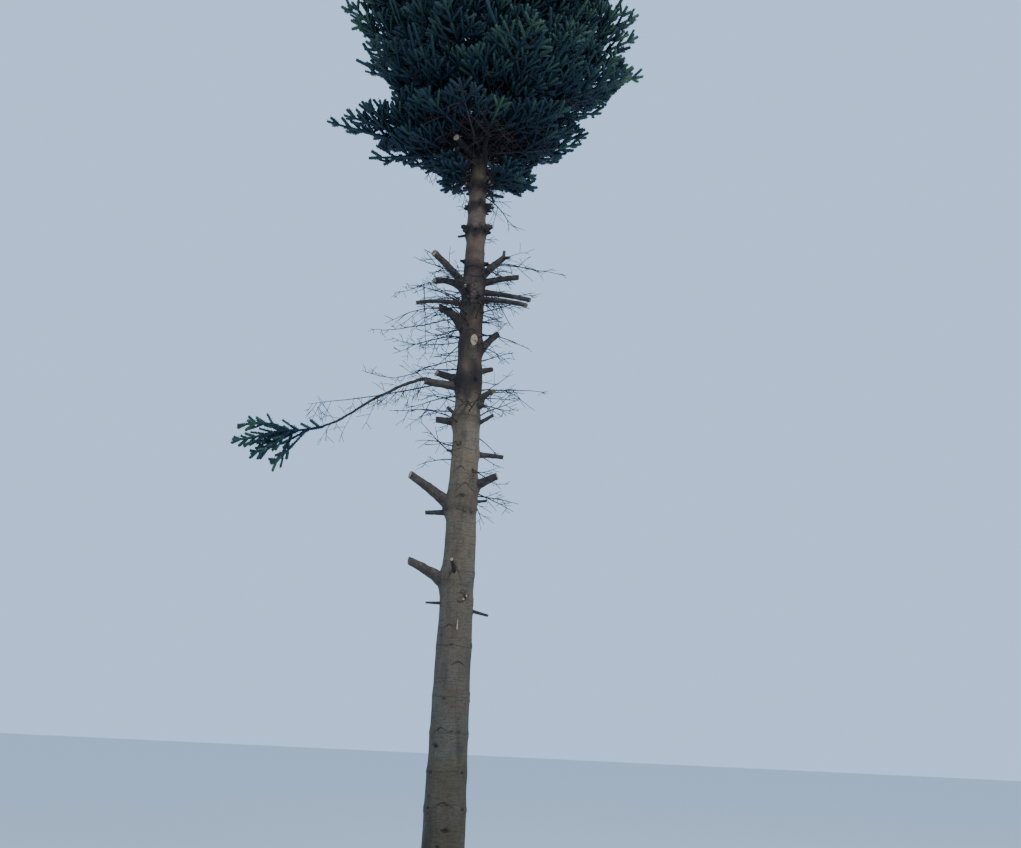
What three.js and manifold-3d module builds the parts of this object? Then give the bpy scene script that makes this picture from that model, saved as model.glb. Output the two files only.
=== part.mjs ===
// A fir about 10.7 m tall that has been cleared of its branches from the ground up to 6 m.
// The bare pole keeps cut stubs, sprays of dead twigs and one long live bough; the crown above is whole.
// Millimetres and degrees. +Z is up, +X is to the right and +Y away from someone who faces the tree.
// The origin is the middle of the flat cut at ground level. Azimuth 0 is +X, 90 is +Y.

import * as THREE from "three";
import { mergeVertices } from "three/addons/utils/BufferGeometryUtils.js";
import Module from "manifold-3d";

const wasm = await Module();
wasm.setup();

// Trunk
const TRUNK_HEIGHT = 10300;
const TIP_RADIUS = 6;
const TAPER = 0.0152; // radius lost for each millimetre of height
const FLARE = 44; // extra radius at the ground
const FLARE_FADE = 280; // height over which the root flare dies away
const BUTTRESSES = 5;
const BUTTRESS_DEPTH = 0.2; // share of the flare that swells and shrinks round the foot
const LEAN = -0.0082; // sideways shift for each millimetre of height
const SWAY = 5;
const SWAY_LENGTH = 5200;
const TRUNK_SIDES = 12;
const LOW_RINGS = [0, 80, 200, 420, 800];
const TRUNK_RINGS = [...LOW_RINGS, 1700, 2600, 3400, 4200, 5000, 5800, 6700, 7900, 9100, TRUNK_HEIGHT];

// Clearance between one solid and the next
const GAP = 0.3;

// Cut stubs: height where the axis leaves the bark, azimuth, rise, length past the bark, radii at root
// and cut. bend is how far the rise changes from root to cut.
const STUBS = [
  { name: "stub_left_a", height: 5105, azimuth: 200, rise: 44, bend: -8, length: 345, root: 30, cut: 22 },
  { name: "stub_left_b", height: 5085, azimuth: 152, rise: 56, bend: -56, length: 330, root: 31, cut: 21 },
  { name: "stub_left_c", height: 4925, azimuth: 190, rise: 12, bend: -30, length: 370, root: 17, cut: 12 },
  { name: "stub_left_d", height: 4775, azimuth: 168, rise: 62, bend: -40, length: 245, root: 38, cut: 26 },
  { name: "stub_left_e", height: 4285, azimuth: 154, rise: 34, bend: -16, length: 225, root: 29, cut: 23 },
  { name: "stub_left_f", height: 3922, azimuth: 185, rise: 8, bend: -6, length: 140, root: 27, cut: 22 },
  { name: "stub_left_g", height: 3275, azimuth: 188, rise: 38, bend: -8, length: 360, root: 42, cut: 26 },
  { name: "stub_left_h", height: 3202, azimuth: 178, rise: 2, bend: -6, length: 165, root: 19, cut: 13 },
  { name: "stub_left_i", height: 2690, azimuth: 190, rise: 34, bend: -14, length: 280, root: 42, cut: 26 },
  { name: "stub_right_a", height: 5190, azimuth: -20, rise: 38, bend: 0, length: 235, root: 28, cut: 22 },
  { name: "stub_right_b", height: 5140, azimuth: 10, rise: 24, bend: -12, length: 300, root: 24, cut: 19 },
  { name: "stub_right_c", height: 5048, azimuth: 2, rise: -2, bend: -8, length: 385, root: 20, cut: 16 },
  { name: "stub_right_d", height: 4962, azimuth: -27, rise: -8, bend: -14, length: 415, root: 20, cut: 16 },
  { name: "stub_right_e", height: 4565, azimuth: 10, rise: 58, bend: -16, length: 185, root: 29, cut: 22 },
  { name: "stub_right_f", height: 4085, azimuth: -32, rise: 80, bend: -80, length: 150, root: 27, cut: 15 },
  { name: "stub_right_g", height: 3675, azimuth: 12, rise: 5, bend: -8, length: 195, root: 19, cut: 14 },
  { name: "stub_right_h", height: 3420, azimuth: -16, rise: 26, bend: -4, length: 170, root: 31, cut: 25 },
  { name: "stub_front", height: 4470, azimuth: -80, rise: 52, bend: -10, length: 120, root: 31, cut: 25 },
  { name: "stub_crown_foot", height: 6262, azimuth: 228, rise: 26, bend: -6, length: 240, root: 27, cut: 22 },
  { name: "stub_back_a", height: 5075, azimuth: 95, rise: 24, bend: -10, length: 265, root: 26, cut: 20 },
  { name: "stub_back_b", height: 4285, azimuth: 112, rise: 34, bend: -12, length: 215, root: 28, cut: 21 },
];
const STUB_SIDES = 6;
const STUB_RINGS = 4;
const STUB_SUNK = 60; // how far a stub's root runs into the trunk
const ROOT_SPREAD = 1.35; // how much wider a stub's collar is than its root
const COLLAR_FADE = 7; // how fast the collar narrows along the stub
const FORKED_STUB = "stub_right_a";
const FORK = { spread: 48, turn: 12, back: 22, length: 62, radius: 15 }; // the two prongs that end it

// Short pegs and knots, fused to the trunk: height, azimuth, rise, length past the bark, radius
const PEGS = [
  { height: 5556, azimuth: 182, rise: -14, length: 72, radius: 12 },
  { height: 3681, azimuth: 200, rise: -7, length: 42, radius: 11 },
  { height: 3990, azimuth: 186, rise: 42, length: 78, radius: 15 },
  { height: 2514, azimuth: 200, rise: -3, length: 112, radius: 10 },
  { height: 5822, azimuth: 0, rise: 7, length: 68, radius: 15 },
  { height: 5634, azimuth: -10, rise: 6, length: 62, radius: 20 },
  { height: 4056, azimuth: -42, rise: -20, length: 110, radius: 16 },
  { height: 4370, azimuth: 22, rise: 20, length: 105, radius: 23 },
  { height: 3915, azimuth: -18, rise: 28, length: 130, radius: 15 },
  { height: 2742, azimuth: -102, rise: 38, length: 115, radius: 14 },
  { height: 3298, azimuth: 2, rise: 8, length: 74, radius: 12 },
  { height: 2468, azimuth: -6, rise: -14, length: 118, radius: 12 },
  { height: 5010, azimuth: -116, rise: 46, length: 62, radius: 24 },
  { height: 2556, azimuth: -58, rise: 24, length: 30, radius: 22 },
  { height: 2530, azimuth: -76, rise: 10, length: 26, radius: 19 },
  { height: 3940, azimuth: 98, rise: 12, length: 80, radius: 18 },
  { height: 2735, azimuth: 66, rise: 18, length: 120, radius: 20 },
  { height: 5650, azimuth: 110, rise: 10, length: 70, radius: 16 },
  { height: 6035, azimuth: -48, rise: 30, length: 60, radius: 17 },
];
const PEG_SIDES = 5;
const PEG_SUNK = 0.5; // as a share of the trunk's radius
const PEG_FOOT = 1.3; // a peg's radius at its foot and at its tip, as shares of the stated one
const PEG_TIP = 0.85;

// The long live bough on the left: distance from the trunk's axis, height and radius along it
const BOUGH_AZIMUTH = 194;
const BOUGH_SWING = -14; // how far the bough's azimuth turns from root to tip
const BOUGH_COURSE = [
  { out: 40, height: 4205, radius: 36 },
  { out: 165, height: 4226, radius: 30 },
  { out: 300, height: 4234, radius: 29 },
  { out: 352, height: 4238, radius: 23 },
  { out: 388, height: 4243, radius: 11 },
  { out: 515, height: 4187, radius: 10 },
  { out: 710, height: 4076, radius: 9 },
  { out: 985, height: 3888, radius: 8 },
  { out: 1130, height: 3832, radius: 7 },
];
const BOUGH_SPRAY = { length: 720, lift: 22, shoot: 260, spacing: 150, roll: 60, turn: 36, shortSide: 0.5 };

// Sprays of dead twigs: height and azimuth of the root, rise, length and droop of the stem, and side twigs
const DEAD_SPRAYS = [
  { name: "dead_spray_left_a", height: 4900, azimuth: 184, rise: -4, length: 660, twigs: 8, droop: -24 },
  { name: "dead_spray_left_b", height: 4650, azimuth: 172, rise: 4, length: 600, twigs: 9, droop: -18 },
  { name: "dead_spray_left_c", height: 4010, azimuth: 190, rise: 4, length: 520, twigs: 8, droop: -40 },
  { name: "dead_spray_right_a", height: 5300, azimuth: -6, rise: 6, length: 700, twigs: 7, droop: -12 },
  { name: "dead_spray_right_b", height: 4200, azimuth: 6, rise: 4, length: 620, twigs: 6, droop: 6 },
  { name: "dead_spray_crown_foot", height: 5920, azimuth: -5, rise: -34, length: 420, twigs: 5, droop: 26 },
];
const DEAD_STEM = { radius: 7, sunk: 0.3, first: 0.28, span: 0.64 }; // side twigs run over that span of it
const DEAD_TWIG = { radius: 4.5, angle: 48, spread: 14, tilt: 50, level: 0.6, ratio: 0.6, extra: 60 };
const DEAD_FORK = { radius: 3, angle: 40, tilt: 40, place: 0.45, ratio: 0.5 };

// Crown: rings of boughs, each with its height at the trunk, the rise at the root, the lift added by the tip,
// and every bough's azimuth and length to its furthest shoot
const CROWN = [
  { height: 6080, rise: -16, lift: 10, boughs: [[188, 480], [352, 600]] },
  { height: 6360, rise: 7, lift: 12, boughs: [[176, 1400], [258, 800], [6, 1080], [88, 1040]] },
  {
    height: 6670,
    rise: 7,
    lift: 13,
    boughs: [[214, 1180], [292, 1180], [346, 1340], [58, 1280], [134, 1260]],
  },
  { height: 6990, rise: 9, lift: 12, boughs: [[170, 1300], [252, 1400], [8, 1500], [90, 1430]] },
  {
    height: 7480,
    rise: 16,
    lift: 14,
    boughs: [[204, 1440], [300, 1380], [342, 1480], [48, 1400], [128, 1400]],
  },
  { height: 8250, rise: 27, lift: 14, boughs: [[178, 1260], [292, 1220], [56, 1240]] },
  { height: 8980, rise: 36, lift: 10, boughs: [[236, 980], [350, 960], [116, 970]] },
  { height: 9640, rise: 44, lift: 8, boughs: [[190, 620], [292, 600], [56, 610]] },
];
const LEADER = { length: 420, shoot: 250 };
const LEADER_ARMS = { count: 4, azimuth: 20, rise: 52, length: 330, height: 28, step: 11 };
const STEM_THICKNESS = 0.013; // a bough's root radius as a share of its length
const STEM_ROOT_RADIUS = 9; // of the thinnest stem
const STEM_TIP_RADIUS = 4;
const STEM_SUNK = 0.5; // as a share of the trunk's radius
const STEM_SIDES = 4;
const STEM_RINGS = 2;
const TIP_SHARE = 0.6; // the longest blade that may end a stem, as a share of its length
const LATERAL_RATIO = 0.62; // a side branch's length as a share of what is left of its stem
const LATERAL_EXTRA = 60;
const LATERAL_ANGLE = 54;
const LATERAL_SPREAD = 8; // random change of that angle
const LATERAL_TILT = 22;
const LATERAL_LEVEL = 0.35; // share of side branches that dip below the spray's plane
const LATERAL_ROOT = 0.7; // a side branch's radius at the stem's root, as a share of the stem's own
const LATERAL_THINNING = 0.4; // how much of that share is gone at the stem's tip
const FIRST_LATERAL = 0.8; // the outermost side branches, back from the tip as a share of the tip's blade
const LAST_LATERAL = 0.8; // the innermost ones, back from the tip as a share of the length
const LONGEST_BLADE = 1.15; // a side branch up to this many shoots long is one blade
const SPACING = 300; // between one pair of side branches and the next
const SPACING_SPREAD = 0.3; // random change of it, as a share
const FORWARD_BLADE = { place: 0.6, share: 0.8 }; // the blade on a side branch, on the side of the stem's tip
const BLADE_ROLL = 30;
const UPRIGHTS = [
  { place: 0.5, pitch: 44, share: 0.8 },
  { place: 0.72, pitch: -40, share: 0.66 },
];
const UPRIGHT_SWING = 0.5; // how far an upright leans to either hand, and how far its face turns
const UPRIGHT_TURN = 0.4;
const BLADE_LENGTH = 460;
const BLADE_THICKNESS = 0.07; // at its middle, as a share of its length
const BLADE_SINK = 50; // how far a blade's root runs into its twig
// Right half of a blade's outline from root to tip, as shares of its length: teeth with notches between them
const WIDE_BLADE = [[0.37, 0.4], [0.2, 0.5], [0.29, 0.7]];
const SLIM_BLADE = [[0.3, 0.5], [0.14, 0.62]];
const BLADE_MIDDLE = 0.42;
const SPACE_MARGIN = 7; // distance kept from the planes between neighbouring masses
const WIDEST_WEDGE = 88; // degrees to each hand of a bough
const BEND_MIDDLE = 0.6; // share of a bough's lift that its middle has
const CROWN_ROOF = { below_tip: 250, slope: 1.1 }; // the cone that the last ring stays under
const CROWN_SEED = 1000;
const RING_SEED = 37;
const DEAD_SPRAY_SEED = 500;
const BOUGH_SEED = 77;

const up = new THREE.Vector3(0, 0, 1);
const radians = THREE.MathUtils.degToRad;

const bark = new THREE.MeshStandardMaterial({ color: "#6f675d", roughness: 0.92, metalness: 0 });
const deadWood = new THREE.MeshStandardMaterial({ color: "#5b5049", roughness: 0.95, metalness: 0 });
const needles = new THREE.MeshStandardMaterial({ color: "#24382b", roughness: 0.75, metalness: 0 });

// Repeatable random numbers from 0 to 1
function seeded(seed) {
  let state = seed >>> 0;
  return () => {
    state = (Math.imul(state, 1664525) + 1013904223) >>> 0;
    return state / 4294967296;
  };
}

// Direction with that azimuth and rise
function heading(azimuth, rise) {
  const across = Math.cos(radians(rise));
  return new THREE.Vector3(
    Math.cos(radians(azimuth)) * across,
    Math.sin(radians(azimuth)) * across,
    Math.sin(radians(rise)),
  );
}

// Point on the trunk's centre line at a height
function trunkAxis(height) {
  const turn = (2 * Math.PI * height) / SWAY_LENGTH;
  return new THREE.Vector3(
    LEAN * height - SWAY * Math.sin(turn),
    SWAY * (1 - Math.cos(turn)) * 0.5,
    height,
  );
}

function trunkRadius(height) {
  return TIP_RADIUS + TAPER * (TRUNK_HEIGHT - height) + FLARE * Math.exp(-height / FLARE_FADE);
}

function solidOf(geometry) {
  const bare = geometry.index ? geometry.toNonIndexed() : geometry.clone();
  bare.deleteAttribute("normal");
  bare.deleteAttribute("uv");
  const merged = mergeVertices(bare, 1e-3);
  return new wasm.Manifold(
    new wasm.Mesh({
      numProp: 3,
      vertProperties: merged.attributes.position.array,
      triVerts: new Uint32Array(merged.index.array),
    }),
  );
}

function meshOf(solid, name, material) {
  const parts = solid.decompose().sort((a, b) => b.volume() - a.volume());
  const made = parts[0].getMesh();
  const geometry = new THREE.BufferGeometry();
  geometry.setAttribute("position", new THREE.BufferAttribute(new Float32Array(made.vertProperties), 3));
  geometry.setIndex(new THREE.BufferAttribute(new Uint32Array(made.triVerts), 1));
  geometry.computeVertexNormals();
  const mesh = new THREE.Mesh(geometry, material);
  mesh.name = name;
  return mesh;
}

// A closed limb of round section: a cylinder whose rings are laid along pointAt(t) with radiusAt(t, angle).
// Its rings are square to its course, or level, and it may run to a point.
function limb(pointAt, radiusAt, sides, rings, { pointed = false, level = false } = {}) {
  const geometry = new THREE.CylinderGeometry(pointed ? 0 : 1, 1, 1, sides, rings);
  const place = geometry.attributes.position;
  const step = 1e-3;
  for (let i = 0; i < place.count; i++) {
    const t = THREE.MathUtils.clamp(place.getY(i) + 0.5, 0, 1);
    const centre = pointAt(t);
    const ahead = pointAt(Math.min(t + step, 1)).sub(pointAt(Math.max(t - step, 0)));
    const tangent = level ? up.clone() : ahead.normalize();
    const side = new THREE.Vector3(0, 1, 0).cross(tangent);
    if (side.lengthSq() < 0.05) side.set(1, 0, 0).cross(tangent);
    side.normalize();
    const other = side.clone().cross(tangent);
    const x = place.getX(i);
    const z = place.getZ(i);
    const far = Math.hypot(x, z) > 1e-6 ? radiusAt(t, Math.atan2(z, x)) : 0;
    const spread = Math.hypot(x, z) || 1;
    centre.addScaledVector(side, (x / spread) * far).addScaledVector(other, (z / spread) * far);
    place.setXYZ(i, centre.x, centre.y, centre.z);
  }
  return solidOf(geometry);
}

// Points along a limb that leaves start with a heading whose rise changes by bend over its length
function course(start, azimuth, rise, bend, length, steps = 12) {
  const points = [start.clone()];
  for (let i = 0; i < steps; i++) {
    const direction = heading(azimuth, rise + (bend * (i + 0.5)) / steps);
    points.push(points[i].clone().addScaledVector(direction, length / steps));
  }
  return (t) => {
    const at = THREE.MathUtils.clamp(t, 0, 1) * steps;
    const i = Math.min(Math.floor(at), steps - 1);
    return points[i].clone().lerp(points[i + 1], at - i);
  };
}

// The trunk is a limb with those rings, laid level; extra widens it to cut its neighbours clear
function trunkSolid(extra = 0) {
  const last = TRUNK_RINGS.length - 1;
  const heightAt = (t) => {
    const i = Math.min(Math.floor(t * last), last - 1);
    return THREE.MathUtils.lerp(TRUNK_RINGS[i], TRUNK_RINGS[i + 1], t * last - i);
  };
  const radiusAt = (t, angle) => {
    const height = heightAt(t);
    const buttress = Math.cos(BUTTRESSES * angle) * BUTTRESS_DEPTH * FLARE * Math.exp(-height / FLARE_FADE);
    return trunkRadius(height) + buttress + extra;
  };
  return limb((t) => trunkAxis(heightAt(t)), radiusAt, TRUNK_SIDES, last, { level: true });
}

// Point on the bark at a height and azimuth
function barkPoint(height, azimuth) {
  return trunkAxis(height).addScaledVector(heading(azimuth, 0), trunkRadius(height));
}

// A cut stub: its axis leaves the bark at that height and azimuth, and its root runs on into the trunk
function stubSolid({ height, azimuth, rise, bend, length, root, cut }) {
  const start = barkPoint(height, azimuth).addScaledVector(heading(azimuth, rise), -STUB_SUNK);
  const whole = length + STUB_SUNK;
  const along = course(start, azimuth, rise, bend, whole);
  const radiusAt = (t) => {
    const past = Math.max(0, (t * whole - STUB_SUNK) / length);
    return cut + (root - cut) * (1 - past) + root * (ROOT_SPREAD - 1) * Math.exp(-past * COLLAR_FADE);
  };
  return { solid: limb(along, radiusAt, STUB_SIDES, STUB_RINGS), tip: along(1) };
}

function forkProngs(tip, azimuth, rise) {
  return [-1, 1].map((side) => {
    const direction = heading(azimuth + side * FORK.turn, rise + side * FORK.spread);
    const start = tip.clone().addScaledVector(heading(azimuth, rise), -FORK.back);
    const end = start.clone().addScaledVector(direction, FORK.length);
    return limb((t) => start.clone().lerp(end, t), () => FORK.radius, PEG_SIDES, 1);
  });
}

function pegSolid({ height, azimuth, rise, length, radius }) {
  const direction = heading(azimuth, rise);
  const start = barkPoint(height, azimuth).addScaledVector(direction, -PEG_SUNK * trunkRadius(height));
  const end = barkPoint(height, azimuth).addScaledVector(direction, length);
  const radiusAt = (t) => radius * THREE.MathUtils.lerp(PEG_FOOT, PEG_TIP, t);
  return limb((t) => start.clone().lerp(end, t), radiusAt, PEG_SIDES, 1);
}

function makeTrunk() {
  return wasm.Manifold.union([trunkSolid(), ...PEGS.map(pegSolid)]);
}

// One spray of shoots: a toothed blade, thickest in the middle. It starts at root and points along
// direction; normal is square to its face.
function blade(root, direction, normal, length, half) {
  const left = half.map(([x, y]) => [-x, y]).reverse();
  const outline = [[0, 0], ...half, [0, 1], ...left];
  const place = [...outline.map(([x, y]) => [x, y, 0])];
  for (const face of [1, -1]) place.push([0, BLADE_MIDDLE, (face * BLADE_THICKNESS) / 2]);
  const count = outline.length;
  const index = [];
  for (let i = 0; i < count; i++) {
    const next = (i + 1) % count;
    index.push(i, next, count, next, i, count + 1);
  }
  const geometry = new THREE.BufferGeometry();
  geometry.setAttribute("position", new THREE.Float32BufferAttribute(place.flat(), 3));
  geometry.setIndex(index);
  geometry.scale(length, length, length);
  const along = direction.clone().normalize();
  const across = along.clone().cross(normal).normalize();
  const face = across.clone().cross(along);
  const start = root.clone().addScaledVector(along, -BLADE_SINK);
  geometry.applyMatrix4(new THREE.Matrix4().makeBasis(across, along, face).setPosition(start));
  return solidOf(geometry);
}

// A three-sided twig that runs to a point
function twig(start, end, rootRadius) {
  const radiusAt = (t) => rootRadius * (1 - t);
  return limb((t) => start.clone().lerp(end, t), radiusAt, 3, 1, { pointed: true });
}

// True if every corner of the solid lies in the space
function fits(solid, inside) {
  const made = solid.getMesh();
  const corner = new THREE.Vector3();
  for (let i = 0; i < made.numVert; i++) {
    corner.fromArray(made.vertProperties, i * made.numProp);
    if (!inside(corner)) return false;
  }
  return true;
}

// Side and face directions of a spray that grows along tangent: it lies flat, with its face up, or is rolled
// round the tangent by that many degrees
function sprayFrame(tangent, roll = 0) {
  const side = tangent.clone().cross(up).normalize().applyAxisAngle(tangent, radians(roll));
  const face = side.clone().cross(tangent).normalize();
  return { side, face };
}

// Direction that leaves a stem's tangent by turn degrees to one hand and by tilt degrees out of the plane
// of the spray
function sideways(tangent, hand, turn, tilt, roll = 0) {
  const { side, face } = sprayFrame(tangent, roll);
  return tangent
    .clone()
    .multiplyScalar(Math.cos(radians(turn)))
    .addScaledVector(side, hand * Math.sin(radians(turn)))
    .addScaledVector(face, Math.tan(radians(tilt)))
    .normalize();
}

// A mass of foliage: one stem from start, side branches in pairs that shorten towards its tip, each with
// toothed blades for its shoots. Whatever would leave the space is left out.
function foliage(growth) {
  const { start, azimuth, rise, lift, length, shoot, spacing, inside, seed, sunk } = growth;
  const { roll = 0, turn: lateralTurn = LATERAL_ANGLE, shortSide = 1 } = growth;
  const random = seeded(seed);
  const tipBlade = Math.min(shoot, length * TIP_SHARE);
  const along = course(start, azimuth, rise, lift, length - tipBlade + BLADE_SINK + sunk);
  const rootRadius = Math.max(STEM_ROOT_RADIUS, length * STEM_THICKNESS);
  const radiusAt = (t) => THREE.MathUtils.lerp(rootRadius, STEM_TIP_RADIUS, t);
  const pieces = [limb(along, radiusAt, STEM_SIDES, STEM_RINGS)];
  const keep = (...group) => {
    if (group.every((piece) => fits(piece, inside))) pieces.push(...group);
  };
  const tangentAt = (t) => along(Math.min(t + 0.02, 1)).sub(along(Math.max(t - 0.02, 0))).normalize();
  const bladeAt = (root, direction, hand, size, outline) => {
    const { face } = sprayFrame(direction);
    face.applyAxisAngle(direction, hand * radians(BLADE_ROLL) * random());
    return blade(root, direction, face, size, outline);
  };

  keep(bladeAt(along(1), tangentAt(1), 1, tipBlade, WIDE_BLADE));
  for (let back = tipBlade * FIRST_LATERAL; back < length * LAST_LATERAL; back += spacing) {
    for (const hand of [-1, 1]) {
      const left = back + spacing * SPACING_SPREAD * (random() - 0.5);
      const t = 1 - left / length;
      const reach = (LATERAL_RATIO * left + LATERAL_EXTRA) * (hand > 0 ? 1 : shortSide);
      const turn = lateralTurn + LATERAL_SPREAD * (random() - 0.5);
      const tilt = LATERAL_TILT * (random() - LATERAL_LEVEL);
      const direction = sideways(tangentAt(t), hand, turn, tilt, roll);
      if (reach < shoot * LONGEST_BLADE) {
        keep(bladeAt(along(t), direction, hand, reach, WIDE_BLADE));
        continue;
      }
      const far = along(t).addScaledVector(direction, reach - shoot + BLADE_SINK);
      const end = bladeAt(far, direction, hand, shoot, WIDE_BLADE);
      keep(twig(along(t), far, rootRadius * (LATERAL_ROOT - LATERAL_THINNING * t)), end);
      const forward = sideways(direction, -hand, LATERAL_ANGLE, LATERAL_TILT * (random() - 0.5));
      const middle = along(t).lerp(far, FORWARD_BLADE.place);
      keep(bladeAt(middle, forward, hand, shoot * FORWARD_BLADE.share, SLIM_BLADE));
    }
  }
  for (const { place, pitch, share } of UPRIGHTS) {
    const tangent = tangentAt(place);
    const { side, face } = sprayFrame(tangent, roll);
    const direction = tangent.clone().applyAxisAngle(side, radians(pitch));
    direction.addScaledVector(side, UPRIGHT_SWING * (random() - 0.5)).normalize();
    keep(blade(along(place), direction, side.clone().lerp(face, UPRIGHT_TURN), tipBlade * share, SLIM_BLADE));
  }
  return wasm.Manifold.union(pieces);
}

// The space of one crown bough: a wedge between its neighbours, and between the rings above and below
function crownSpace(ring, index) {
  const here = CROWN[ring];
  const azimuth = here.boughs[index][0];
  const gaps = here.boughs
    .filter((_, i) => i !== index)
    .map(([other]) => THREE.MathUtils.euclideanModulo(other - azimuth, 360));
  const ahead = Math.min(WIDEST_WEDGE, Math.min(...gaps) / 2);
  const behind = Math.min(WIDEST_WEDGE, (360 - Math.max(...gaps)) / 2);
  const slopeOf = ({ rise, lift }) => rise + lift * BEND_MIDDLE;
  const middle = (low, high) => ({
    height: (low.height + high.height) / 2,
    slope: Math.tan(radians((slopeOf(low) + slopeOf(high)) / 2)),
  });
  const topRoof = { height: TRUNK_HEIGHT - CROWN_ROOF.below_tip, slope: CROWN_ROOF.slope };
  const floor = ring > 0 ? middle(CROWN[ring - 1], here) : null;
  const roof = ring < CROWN.length - 1 ? middle(here, CROWN[ring + 1]) : topRoof;
  const clearOf = (limit, turn, out) => out * Math.sin(radians(limit - turn)) > SPACE_MARGIN;
  return (p) => {
    const centre = trunkAxis(p.z);
    const out = Math.hypot(p.x - centre.x, p.y - centre.y);
    if (out < trunkRadius(p.z) + GAP) return false;
    const angle = THREE.MathUtils.radToDeg(Math.atan2(p.y - centre.y, p.x - centre.x));
    const turn = THREE.MathUtils.euclideanModulo(angle - azimuth + 180, 360) - 180;
    if (!clearOf(turn > 0 ? ahead : behind, Math.abs(turn), out)) return false;
    if (floor && p.z < floor.height + floor.slope * out + SPACE_MARGIN) return false;
    return p.z < roof.height + roof.slope * out - SPACE_MARGIN;
  };
}

function crownMass(ring, index, cutter) {
  const { height, rise, lift, boughs } = CROWN[ring];
  const [azimuth, length] = boughs[index];
  const sunk = STEM_SUNK * trunkRadius(height);
  const start = barkPoint(height, azimuth).addScaledVector(heading(azimuth, rise), -sunk);
  return foliage({
    start,
    azimuth,
    rise,
    lift,
    length: length - trunkRadius(height),
    shoot: BLADE_LENGTH,
    spacing: SPACING,
    inside: crownSpace(ring, index),
    seed: CROWN_SEED + RING_SEED * ring + index,
    sunk,
  }).subtract(cutter);
}

// The shoot that carries on from the trunk's tip, with a ring of arms round its foot
function leaderMass() {
  const foot = trunkAxis(TRUNK_HEIGHT).addScaledVector(up, GAP);
  const stemHeight = LEADER.length - LEADER.shoot + BLADE_SINK;
  const top = foot.clone().addScaledVector(up, stemHeight);
  const stem = limb((t) => foot.clone().lerp(top, t), () => TIP_RADIUS, STEM_SIDES, 1);
  const pieces = [stem, blade(top, up, new THREE.Vector3(0, 1, 0), LEADER.shoot, WIDE_BLADE)];
  for (let i = 0; i < LEADER_ARMS.count; i++) {
    const direction = heading(LEADER_ARMS.azimuth + (360 / LEADER_ARMS.count) * i, LEADER_ARMS.rise);
    const root = foot.clone().addScaledVector(up, LEADER_ARMS.height + LEADER_ARMS.step * i);
    pieces.push(blade(root, direction, sprayFrame(direction).face, LEADER_ARMS.length, SLIM_BLADE));
  }
  return wasm.Manifold.union(pieces);
}

// A spray of dead twigs: a drooping stem with side twigs on alternate sides, each with one short twig of
// its own. Twigs that would touch a limb are left out.
function deadSpray({ height, azimuth, rise, length, twigs, droop }, seed, cutter, limbs) {
  const random = seeded(seed);
  const sunk = DEAD_STEM.sunk * trunkRadius(height);
  const start = barkPoint(height, azimuth).addScaledVector(heading(azimuth, rise), -sunk);
  const along = course(start, azimuth, rise, droop, length + sunk);
  const pieces = [limb(along, (t) => DEAD_STEM.radius * (1 - t), 3, 2, { pointed: true })];
  for (let i = 0; i < twigs; i++) {
    const t = DEAD_STEM.first + (DEAD_STEM.span * i) / twigs;
    const hand = i % 2 ? 1 : -1;
    const tangent = along(t + 0.03).sub(along(t - 0.03)).normalize();
    const turn = DEAD_TWIG.angle + DEAD_TWIG.spread * (random() - 0.5);
    const direction = sideways(tangent, hand, turn, DEAD_TWIG.tilt * (random() - DEAD_TWIG.level));
    const reach = length * (1 - t) * DEAD_TWIG.ratio + DEAD_TWIG.extra;
    const far = along(t).addScaledVector(direction, reach);
    pieces.push(twig(along(t), far, DEAD_TWIG.radius));
    const forward = sideways(direction, -hand, DEAD_FORK.angle, DEAD_FORK.tilt * (random() - 0.5));
    const fork = along(t).lerp(far, DEAD_FORK.place);
    const forkEnd = fork.clone().addScaledVector(forward, reach * DEAD_FORK.ratio);
    pieces.push(twig(fork, forkEnd, DEAD_FORK.radius));
  }
  const clear = pieces.filter((piece, i) => i === 0 || limbs.every((l) => piece.intersect(l).isEmpty()));
  return wasm.Manifold.union(clear).subtract(cutter);
}

// Points of the long bough, swung round a little as it goes out
function boughCourse() {
  const last = BOUGH_COURSE[BOUGH_COURSE.length - 1].out;
  const points = BOUGH_COURSE.map(({ out, height }) => {
    const azimuth = BOUGH_AZIMUTH + (BOUGH_SWING * out) / last;
    const centre = trunkAxis(BOUGH_COURSE[0].height);
    return new THREE.Vector3(centre.x, centre.y, height).addScaledVector(heading(azimuth, 0), out);
  });
  const end = points[points.length - 1].clone().sub(points[points.length - 2]);
  return {
    points,
    tip: points[points.length - 1],
    azimuth: THREE.MathUtils.radToDeg(Math.atan2(end.y, end.x)),
    rise: THREE.MathUtils.radToDeg(Math.atan2(end.z, Math.hypot(end.x, end.y))),
  };
}

function longBough(cutter, extra) {
  const { points } = boughCourse();
  const last = points.length - 1;
  const at = (t) => {
    const place = t * last;
    const i = Math.min(Math.floor(place), last - 1);
    return points[i].clone().lerp(points[i + 1], place - i);
  };
  const radiusAt = (t) => {
    const place = t * last;
    const i = Math.min(Math.floor(place), last - 1);
    return THREE.MathUtils.lerp(BOUGH_COURSE[i].radius, BOUGH_COURSE[i + 1].radius, place - i) + extra;
  };
  return limb(at, radiusAt, STUB_SIDES, last).subtract(cutter);
}

// The live end of the long bough: narrow shoots that hang in a fan from a short stem
function boughFoliage() {
  const { tip, azimuth, rise } = boughCourse();
  const start = tip.clone().addScaledVector(heading(azimuth, rise), GAP);
  return foliage({ ...BOUGH_SPRAY, start, azimuth, rise, inside: () => true, seed: BOUGH_SEED, sunk: 0 });
}

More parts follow.
